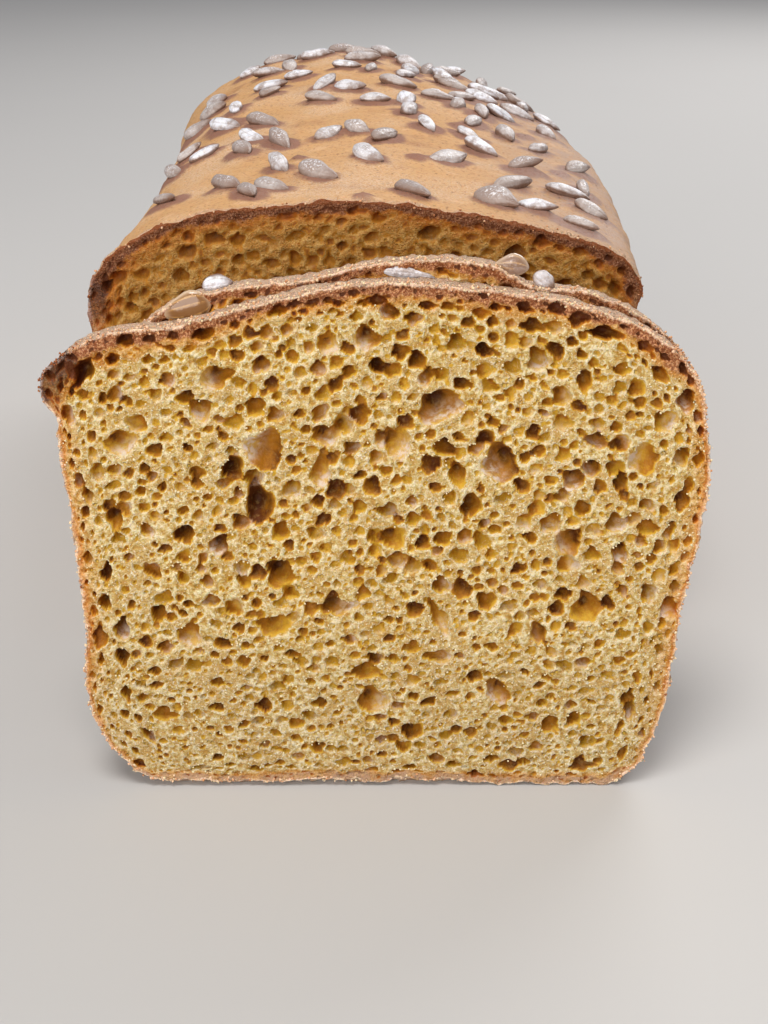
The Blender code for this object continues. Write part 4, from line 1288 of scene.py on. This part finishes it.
class BREAD_OT_loaf(bpy.types.Operator):
    """Make the rest of the loaf: its cut face, its dome and walls, and its rounded end"""

    bl_idname = "bread.loaf"
    bl_label = "Loaf"

    def execute(self, context):
        sizes = context.scene.bread_sizes
        plain, crust = sizes.plain_cell / MM, sizes.crust_cell / MM
        patch = Patch(LOAF)
        body, end_steps = cells(BODY_LENGTH, crust * 1.4), 12
        start = 0.8 / LOAF_LENGTH
        total = body + end_steps
        depths = [start] + [k / total for k in range(1, total)]
        grids = grid_of(LOAF_SPAN, plain), grid_of(LOAF_SPAN, crust)
        mesh = mesh_of("loaf_bread", box_of_cells(*grids, depths, from_back=True))
        unit = read_places(mesh)
        u, depth, v = unit.T
        flat = patch.spread(u, v)
        step = depth * total
        along = np.minimum(step / body, 1) * BODY_LENGTH
        along = np.where(depth == start, start * LOAF_LENGTH, along)
        turn = np.radians(END_TURN) * np.clip((step - body) / end_steps, 0, 1)
        places = loaf_places(flat[:, 0], flat[:, 1], along, turn)
        edge = on_edge(u, v)
        face = depth < TINY
        places = self.relief(places, flat, face, edge, sizes.crust_grain / MM)
        ring = patch.ring[::RING_STEP]
        pores = [pore._replace(tone=pore.tone * LOAF_PORE_TONE)
                 for pore in scattered_pores(LOAF_SEED, ring, sizes.pores_tried)]
        sunk, deep, found = cut_face(
            patch, u[face], v[face], pores, plain, seed=5, deepest=5.0)
        inner = ~edge[face]
        laid = np.stack([sunk[:, 0], LOAF_Y + deep, sunk[:, 1]], axis=1)
        places[np.flatnonzero(face)[inner]] = laid[inner]
        values = plain_values(len(unit), 0.0)
        for key, value in found.items():
            values[key][face] = value
        # Marks the loaf's cut face for its painted shade.
        values["shade"] = face.astype(float)
        values["bake"] = np.where(face & ~edge, burnt(*flat.T) * 0.6, self.bake(places, flat))
        values["sugar"] = 0.8 * smooth(1 - (places[:, 1] - LOAF_Y) / 2.2)
        values["stain"] = self.stain(places)
        write_places(mesh, places)
        write_values(mesh, **values)
        paint_crust(mesh, face_depths(mesh, depth)[1] > TINY)
        shown(mesh, BREAD_MATERIALS, ("loaf",))
        return {"FINISHED"}

    def relief(self, places, flat, face, edge, grain):
        """The crust's own unevenness, none at the flat bottom, and the torn edge of the cut."""
        crust = ~face
        out = directions(
            np.stack([flat[:, 0], np.zeros(len(flat)), flat[:, 1] - DOME_MIDDLE_UP], axis=1))
        high = np.clip(flat[:, 1] / 8, 0, 1)
        shift = np.zeros(len(flat))
        shift[crust] = (grain * 1.2 * rough(places[crust], 2.6, 3.0)
                        + 0.30 * rough(places[crust], 5.0, 9.0)
                        + 0.50 * rough(places[crust], 11.0, 6.0)) * high[crust]
        behind = places[:, 1] - LOAF_Y
        near = np.flatnonzero((behind < CUT_REACH) & (flat[:, 1] > 3) & crust | face & edge)
        torn = 0.5 * rough(places[near], 1.5, 12.0) + 0.7 * rough(places[near], 4.2, 15.0)
        torn *= smooth(1 - behind[near] / CUT_REACH)
        shift[near] += torn * smooth((flat[near, 1] - 3) / 5)
        on_dome = np.flatnonzero((flat[:, 1] > DOME_FROM) & crust)
        x, along = places[on_dome, 0], behind[on_dome]
        for at_x, at_along, reach in COVERED_KERNELS:
            gap = np.hypot(x - at_x, along - at_along) / (reach * 0.75)
            shift[on_dome] += COVERED_MOUND * np.exp(-(gap**2))
        for kernel in dome_kernels():
            ahead, aside = turned(x - kernel.x, along - kernel.along, kernel.turn)
            shift[on_dome] += KERNEL_MOUND * np.exp(
                -(((ahead / 6.4) ** 2 + (aside / 3.8) ** 2) ** 2))
        return places + out * shift[:, None]

    def stain(self, places):
        """How much the crust is stained brown round the kernels, most on their left: partly a
        stain, partly painted shadow round each kernel's foot and cast to its left.
        """
        rng = random.Random(STAIN_SEED)
        stain = np.zeros(len(places))
        on_dome = np.flatnonzero(places[:, 2] > DOME_FROM)
        x, along = places[on_dome, 0], places[on_dome, 1] - LOAF_Y
        for kernel in dome_kernels():
            strong, reach = rng.random(), rng.uniform(2.2, 4.0)
            # Partly painted shadow cast to the kernel's left, partly a stain.
            blot_x = kernel.x - rng.uniform(0.5, 5.5)
            blot_along = kernel.along + rng.uniform(-2.0, 4.0)
            gap = np.hypot(x - blot_x, (along - blot_along) * 0.8)
            blot = np.exp(-((gap / reach) ** 2)) * (0.1 + 0.7 * strong**3)
            # Painted shadow round the kernel's foot.
            ahead, aside = turned(x - kernel.x, along - kernel.along, kernel.turn)
            ring = np.exp(-(((ahead / 7.2) ** 2 + (aside / 4.9) ** 2) ** 2))
            ring *= 0.72 + 0.38 * strong
            stain[on_dome] = np.maximum(stain[on_dome], np.maximum(blot, ring))
        for at_x, at_along, reach in COVERED_KERNELS:
            gap = np.hypot(x - at_x, (along - at_along) * 0.8) / reach
            stain[on_dome] = np.maximum(stain[on_dome], 1.1 * np.exp(-(gap**2)))
        return stain * smooth((places[:, 2] - 76) / 8)

    def bake(self, places, flat):
        """How browned the crust is: brown lips and patches, paler walls and dome."""
        x, z = flat.T
        patches = 0.55 * smooth((rough(places, 16.0, 4.0) - 0.15) / 0.4)
        high = smooth((z - 84) / 8)
        streaks = smooth(0.5 + 1.2 * rough(places, 24.0, 21.0))
        behind = smooth((places[:, 1] - LOAF_Y) / 40)
        lips = baked(x, z) - 0.85 * burnt(x, z) * behind
        lips *= 0.5 - behind * (0.35 - 0.3 * streaks)
        return 0.10 + lips * (1 - high) + patches * 0.4 * high


# ---- kernels ------------------------------------------------------------------------------


def scattered_kernels():
    """Kernels at random on the far part of the dome, thicker towards its right side."""
    rng = random.Random(SCATTER_SEED)
    least_chance, thin_side, thick_side = 0.35, -25, 25
    half_width, end_half_width, end_length = 50, 28, 45
    kernels, tries = [], 0
    while len(kernels) < KERNELS_SCATTERED and tries < MOST_TRIES:
        tries += 1
        x = rng.uniform(*SCATTER_SIDES)
        along = rng.uniform(SCATTER_START, LOAF_LENGTH - END_ROUND_TOP / 2)
        kernel = Kernel(x, along, rng.uniform(-90, 90), rng.uniform(*KERNEL_SIZES))
        share = smooth((x - thin_side) / (thick_side - thin_side))
        keep = rng.random() < least_chance + (1 - least_chance) * share
        near = any(
            math.hypot(x - k.x, along - k.along) < KERNEL_SPACING for k in SHOWN_KERNELS + kernels
        )
        to_end = smooth((along - LOAF_LENGTH + end_length) / end_length)
        if keep and not near and abs(x) < half_width + (end_half_width - half_width) * to_end:
            kernels.append(kernel)
    return kernels


def dome_kernels():
    """The kernels on the loaf: those placed one by one, and then those at random."""
    return SHOWN_KERNELS + scattered_kernels()


KERNEL_VALUES = ("white", "length", "lines", "low", "amber")


def add_kernel(bm, rng, place, size, white, amber=0.0, cut=0.5):
    """Adds one kernel to a bmesh: a full, slightly flattened drop with ribs along it.

    Its length lies along X, its pointed end ahead, and Z is up from the crust. What stands
    further out than cut, as a share of the thickness, is sliced off.
    """
    sides, rounds = 24, 15
    full, blunt, taper, ribs = 2.6, 0.62, 0.46, 9
    made = bmesh.ops.create_uvsphere(bm, u_segments=sides, v_segments=rounds, radius=0.5)["verts"]
    layers = [bm.verts.layers.float[name] for name in KERNEL_VALUES]
    bend, dent, phase = rng.uniform(-0.12, 0.12), rng.uniform(0.0, 0.2), rng.uniform(0, 6)
    lumpy, own = rng.uniform(0.10, 0.26), rng.uniform(0, 50)
    for vert in made:
        ahead = vert.co.z * 2
        angle = math.atan2(vert.co.y, vert.co.x)
        flat = math.hypot(vert.co.x, vert.co.y)
        if flat > TINY:
            radius = 0.5 * max(1 - abs(ahead) ** full, 0.0) ** blunt
            radius *= 1 - taper * max(ahead + 0.1, 0.0) ** 1.4
            radius *= 1 + 0.03 * math.cos(ribs * angle + phase) + 0.05 * math.cos(3 * ahead + phase)
            knobs = noise.noise((vert.co.z * 3 + own, math.cos(angle), math.sin(angle) + own))
            radius *= 1 + lumpy * knobs
            vert.co.x, vert.co.y = radius * math.cos(angle), radius * math.sin(angle)
            vert.co.x *= 1 - dent * (1 - ahead**2)
            vert.co.y += bend * (1 - ahead**2)
        vert.co.x = max(vert.co.x, -cut)
        for layer, value in zip(layers, (
                white, (ahead + 1) / 2, 0.5 + 0.5 * math.cos(ribs * angle + phase),
                0.5 + vert.co.x, amber)):
            vert[layer] = value
    place = place @ Matrix.Scale(MM, 4) @ Matrix.Diagonal((*size, 1)) @ rotation(90, "Y")
    bmesh.ops.transform(bm, matrix=place, verts=made)


def kernel_mesh():
    bm = bmesh.new()
    for layer in KERNEL_VALUES:
        bm.verts.layers.float.new(layer)
    return bm


def surface_of(name):
    bpy.context.view_layer.update()
    return BVHTree.FromObject(bpy.data.objects[name], bpy.context.evaluated_depsgraph_get())


class BREAD_OT_kernels(bpy.types.Operator):
    """Press the sunflower kernels into the loaf's dome"""

    bl_idname = "bread.kernels"
    bl_label = "Kernels on the loaf"

    def execute(self, context):
        sizes = context.scene.bread_sizes
        surface, rng = surface_of("loaf_bread"), random.Random(KERNEL_SEED)
        bm = kernel_mesh()
        for kernel in dome_kernels():
            above = Vector((kernel.x, LOAF_Y + kernel.along, 200)) * MM
            spot, normal, _, _ = surface.ray_cast(above, Vector((0, 0, -1)))
            turn = math.radians(kernel.turn)
            across = Vector((math.cos(turn), math.sin(turn), 0))
            across = (across - normal * across.dot(normal)).normalized()
            axes = Matrix((across, normal.cross(across), normal)).transposed().to_4x4()
            place = Matrix.Translation(spot + normal * KERNEL_RAISED * MM) @ axes
            tilt = rotation(rng.gauss(0, 4) - 8 * math.sin(turn), "Y")
            roll = rotation(rng.gauss(12, 9), "X")
            size = Vector((sizes.kernel_length, sizes.kernel_width, KERNEL_THICKNESS * MM)) / MM
            size.y *= rng.uniform(0.8, 1.12)
            size.z *= rng.uniform(0.85, 1.2)
            white = min(max(rng.gauss(0.48, 0.36), 0.0), 1.0)
            add_kernel(bm, rng, place @ tilt @ roll, size * kernel.size, white)
        bmesh.ops.recalc_face_normals(bm, faces=bm.faces)
        shown(mesh_of("kernels", bm), ("sunflower_kernel",), ("loaf",))
        return {"FINISHED"}


class BREAD_OT_edge_kernels(bpy.types.Operator):
    """Stand the cut kernels in the second slice's top crust"""

    bl_idname = "bread.edge_kernels"
    bl_label = "Kernels in the slice"

    def execute(self, context):
        rng = random.Random(EDGE_KERNEL_SEED)
        bm = kernel_mesh()
        lean = rotation(-SLICE_LEAN, "X")
        foot = Matrix.Translation((0, SECOND_Y * MM, 0))
        for kernel in EDGE_KERNELS:
            spot = Matrix.Translation(Vector((kernel.x, kernel.depth, kernel.z)) * MM)
            place = foot @ lean @ spot @ rotation(-kernel.turn, "Y") @ rotation(90, "X")
            size = Vector((kernel.long, kernel.high, kernel.thick))
            cut = 0.5 - 0.06 * kernel.amber
            add_kernel(bm, rng, place, size, kernel.white, kernel.amber, cut)
        bmesh.ops.recalc_face_normals(bm, faces=bm.faces)
        shown(mesh_of("slice_kernels", bm), ("sunflower_kernel",), ("slice_second",))
        return {"FINISHED"}


# ---- loose crumbs -------------------------------------------------------------------------


def crumbs_mesh(name, rng, crumbs):
    """A mesh of rough little lumps, one for each place, size and browning.

    They are made in small batches, because every operator takes longer in a large mesh.
    """
    batch = 100
    whole = bmesh.new()
    for start in range(0, len(crumbs), batch):
        bm = bmesh.new()
        layer = bm.verts.layers.float.new("brown")
        for spot, size, brown in crumbs[start:start + batch]:
            made = bmesh.ops.create_icosphere(bm, subdivisions=1, radius=size * MM)["verts"]
            for vert in made:
                vert.co = vert.co * rng.uniform(0.6, 1.35) + Vector(spot) * MM
                vert[layer] = brown
        part = mesh_of("some_crumbs", bm)
        whole.from_mesh(part)
        bpy.data.meshes.remove(part)
    return mesh_of(name, whole)


class BREAD_OT_edge_crumbs(bpy.types.Operator):
    """Scatter the sugary grains of the cut crust along the slices' and the loaf's edges"""

    bl_idname = "bread.edge_crumbs"
    bl_label = "Crumbs on the edges"

    def execute(self, context):
        rng = random.Random(EDGE_CRUMB_SEED)
        crumbs = []
        for name, count, tan in (
                ("slice_front_bread", 0.42, 0.40), ("slice_second_bread", 0.5, 0.40),
                ("loaf_bread", 0.16, 0.62)):
            places, far = self.edge_places(name)
            high = smooth((places[:, 2] - 68) / 14)
            chances = count * (0.35 + 0.65 * high) * np.exp(-((far / 2.4) ** 2))
            burn = burnt(places[:, 0], places[:, 2])
            for place, chance, burn_here in zip(places, chances, burn):
                if rng.random() > chance:
                    continue
                shift = Vector([rng.gauss(0, 0.14) for _ in range(3)])
                brown = min(max(rng.gauss(tan, 0.20), tan - 0.14) + 0.7 * burn_here, 1.0)
                crumbs.append((Vector(place) + shift, rng.uniform(0.11, 0.32), brown))
        shown(crumbs_mesh("edge_crumbs", rng, crumbs), ("loose_crumb",),
              ("slice_front", "slice_second", "loaf"))
        return {"FINISHED"}

    def edge_places(self, name):
        """The points of a piece that lie near its front edge, and how far from it they are."""
        mesh = bpy.data.objects[name].data
        places = read_places(mesh) / MM
        gap = read_value(mesh, "gap")
        foot_y = {"slice_front_bread": FRONT_Y, "slice_second_bread": SECOND_Y}.get(name)
        if foot_y is None:
            depth = places[:, 1] - LOAF_Y
        else:
            depth = depth_in_slice(places, foot_y)
        on_wall = gap == 0
        far = np.where(on_wall, np.maximum(depth, 0), gap * 4.0)
        near = (far < 6) & (depth < 6) & (places[:, 2] > 0.9) & (on_wall | (depth < 3))
        return places[near], far[near]


class BREAD_OT_face_crumbs(bpy.types.Operator):
    """Scatter the torn crumbs that stand up from the walls of the front face"""

    bl_idname = "bread.face_crumbs"
    bl_label = "Crumbs on the face"

    def execute(self, context):
        rng = random.Random(FACE_CRUMB_SEED)
        mesh = bpy.data.objects["slice_front_bread"].data
        places = read_places(mesh) / MM
        rim, gap = read_value(mesh, "rim"), read_value(mesh, "gap")
        depth, crust = depth_in_slice(places, FRONT_Y), read_value(mesh, "crust")
        on_face = (gap > 0.5) & (crust > 1.5) & (depth < 3.0) & (rim > -0.15)
        crumbs = []
        for (x, y, z), far in zip(places[on_face], rim[on_face]):
            dense = 0.5 + 1.4 * noise.noise((x / 9, z / 9, 3.0))
            if rng.random() > 0.03 * dense + 0.04 * math.exp(-((far / 0.35) ** 2)):
                continue
            shift = Vector([rng.gauss(0, 0.15), rng.uniform(-0.04, 0.08), rng.gauss(0, 0.15)])
            crumbs.append((Vector((x, y, z)) + shift, rng.uniform(0.11, 0.24),
                           min(max(rng.gauss(0.05, 0.08), 0.0), 0.2)))
        shown(crumbs_mesh("face_crumbs", rng, crumbs), ("loose_crumb",), ("slice_front",))
        return {"FINISHED"}


# ---- the stage ----------------------------------------------------------------------------


def add_light(name, place, target, size, power, color):
    light = bpy.data.lights.new(name, "AREA")
    light.shape = "DISK"
    light.size = size
    light.energy = power
    light.color = color
    lamp = bpy.data.objects.new(name, light)
    bpy.context.scene.collection.objects.link(lamp)
    lamp.location = place
    lamp.rotation_euler = (Vector(target) - Vector(place)).to_track_quat("-Z", "Y").to_euler()


class BREAD_OT_stage(bpy.types.Operator):
    """Set the floor, the soft lights and the camera"""

    bl_idname = "bread.stage"
    bl_label = "Stage"

    def execute(self, context):
        bm = bmesh.new()
        bmesh.ops.create_grid(bm, x_segments=8, y_segments=8, size=6.0)
        mesh = mesh_of("floor", bm)
        mesh.materials.append(material("pale_floor"))
        floor = bpy.data.objects.new("floor", mesh)
        context.scene.collection.objects.link(floor)
        self.light(context)
        self.camera(context)
        return {"FINISHED"}

    def light(self, context):
        """Soft lights behind to the right, above and in front, and pale light all round."""
        add_light("behind_right", (0.6, 1.0, 0.9), (0, 0.0, 0.08), 0.9, 10, (1.0, 0.99, 0.98))
        add_light("overhead", (-0.15, -0.50, 1.20), (0, -0.1, 0.05), 0.55, 10, (1.0, 0.98, 0.95))
        add_light("fill_front", (-0.40, -1.30, 0.50), (0, -0.1, 0.05), 1.0, 12, (1.0, 0.985, 0.95))
        world = bpy.data.worlds.new("all_round")
        world.use_nodes = True
        background = world.node_tree.nodes["Background"].inputs
        background["Color"].default_value = (0.92, 0.94, 1.0, 1.0)
        background["Strength"].default_value = 0.34
        context.scene.world = world
        context.scene.view_settings.view_transform = "Standard"

    def camera(self, context):
        data = bpy.data.cameras.new("camera")
        data.sensor_width = SENSOR
        data.lens = FOCAL_PIXELS / PICTURE_LONG_SIDE * SENSOR
        data.clip_start = 0.01
        camera = bpy.data.objects.new("camera", data)
        camera.location = Vector(CAMERA_PLACE) * MM
        camera.rotation_euler = (math.radians(90 - CAMERA_PITCH), 0, math.radians(-CAMERA_YAW))
        context.scene.collection.objects.link(camera)
        context.scene.camera = camera


class BREAD_PT_panel(bpy.types.Panel):
    """The bread's pieces, in the order in which they are made"""

    bl_label = "Spelt bread"
    bl_space_type = "VIEW_3D"
    bl_region_type = "UI"
    bl_category = "Bread"

    def draw(self, context):
        for operator in OPERATORS:
            self.layout.operator(operator.bl_idname)
        for group in (context.scene.bread_sizes, context.scene.bread_colors):
            for name in group.__annotations__:
                self.layout.prop(group, name)


OPERATORS = (BREAD_OT_stage, BREAD_OT_front_slice, BREAD_OT_second_slice, BREAD_OT_loaf,
             BREAD_OT_kernels, BREAD_OT_edge_kernels, BREAD_OT_edge_crumbs,
             BREAD_OT_face_crumbs)
CLASSES = (BreadSizes, BreadColors, *OPERATORS, BREAD_PT_panel)


def register():
    for item in CLASSES:
        bpy.utils.register_class(item)
    bpy.types.Scene.bread_sizes = bpy.props.PointerProperty(type=BreadSizes)
    bpy.types.Scene.bread_colors = bpy.props.PointerProperty(type=BreadColors)


def unregister():
    del bpy.types.Scene.bread_colors
    del bpy.types.Scene.bread_sizes
    for item in reversed(CLASSES):
        bpy.utils.unregister_class(item)


def main():
    register()
    bpy.ops.bread.stage()
    bpy.ops.bread.front_slice()
    bpy.ops.bread.second_slice()
    bpy.ops.bread.loaf()
    bpy.ops.bread.kernels()
    bpy.ops.bread.edge_kernels()
    bpy.ops.bread.edge_crumbs()
    bpy.ops.bread.face_crumbs()


if __name__ == "__main__":
    main()
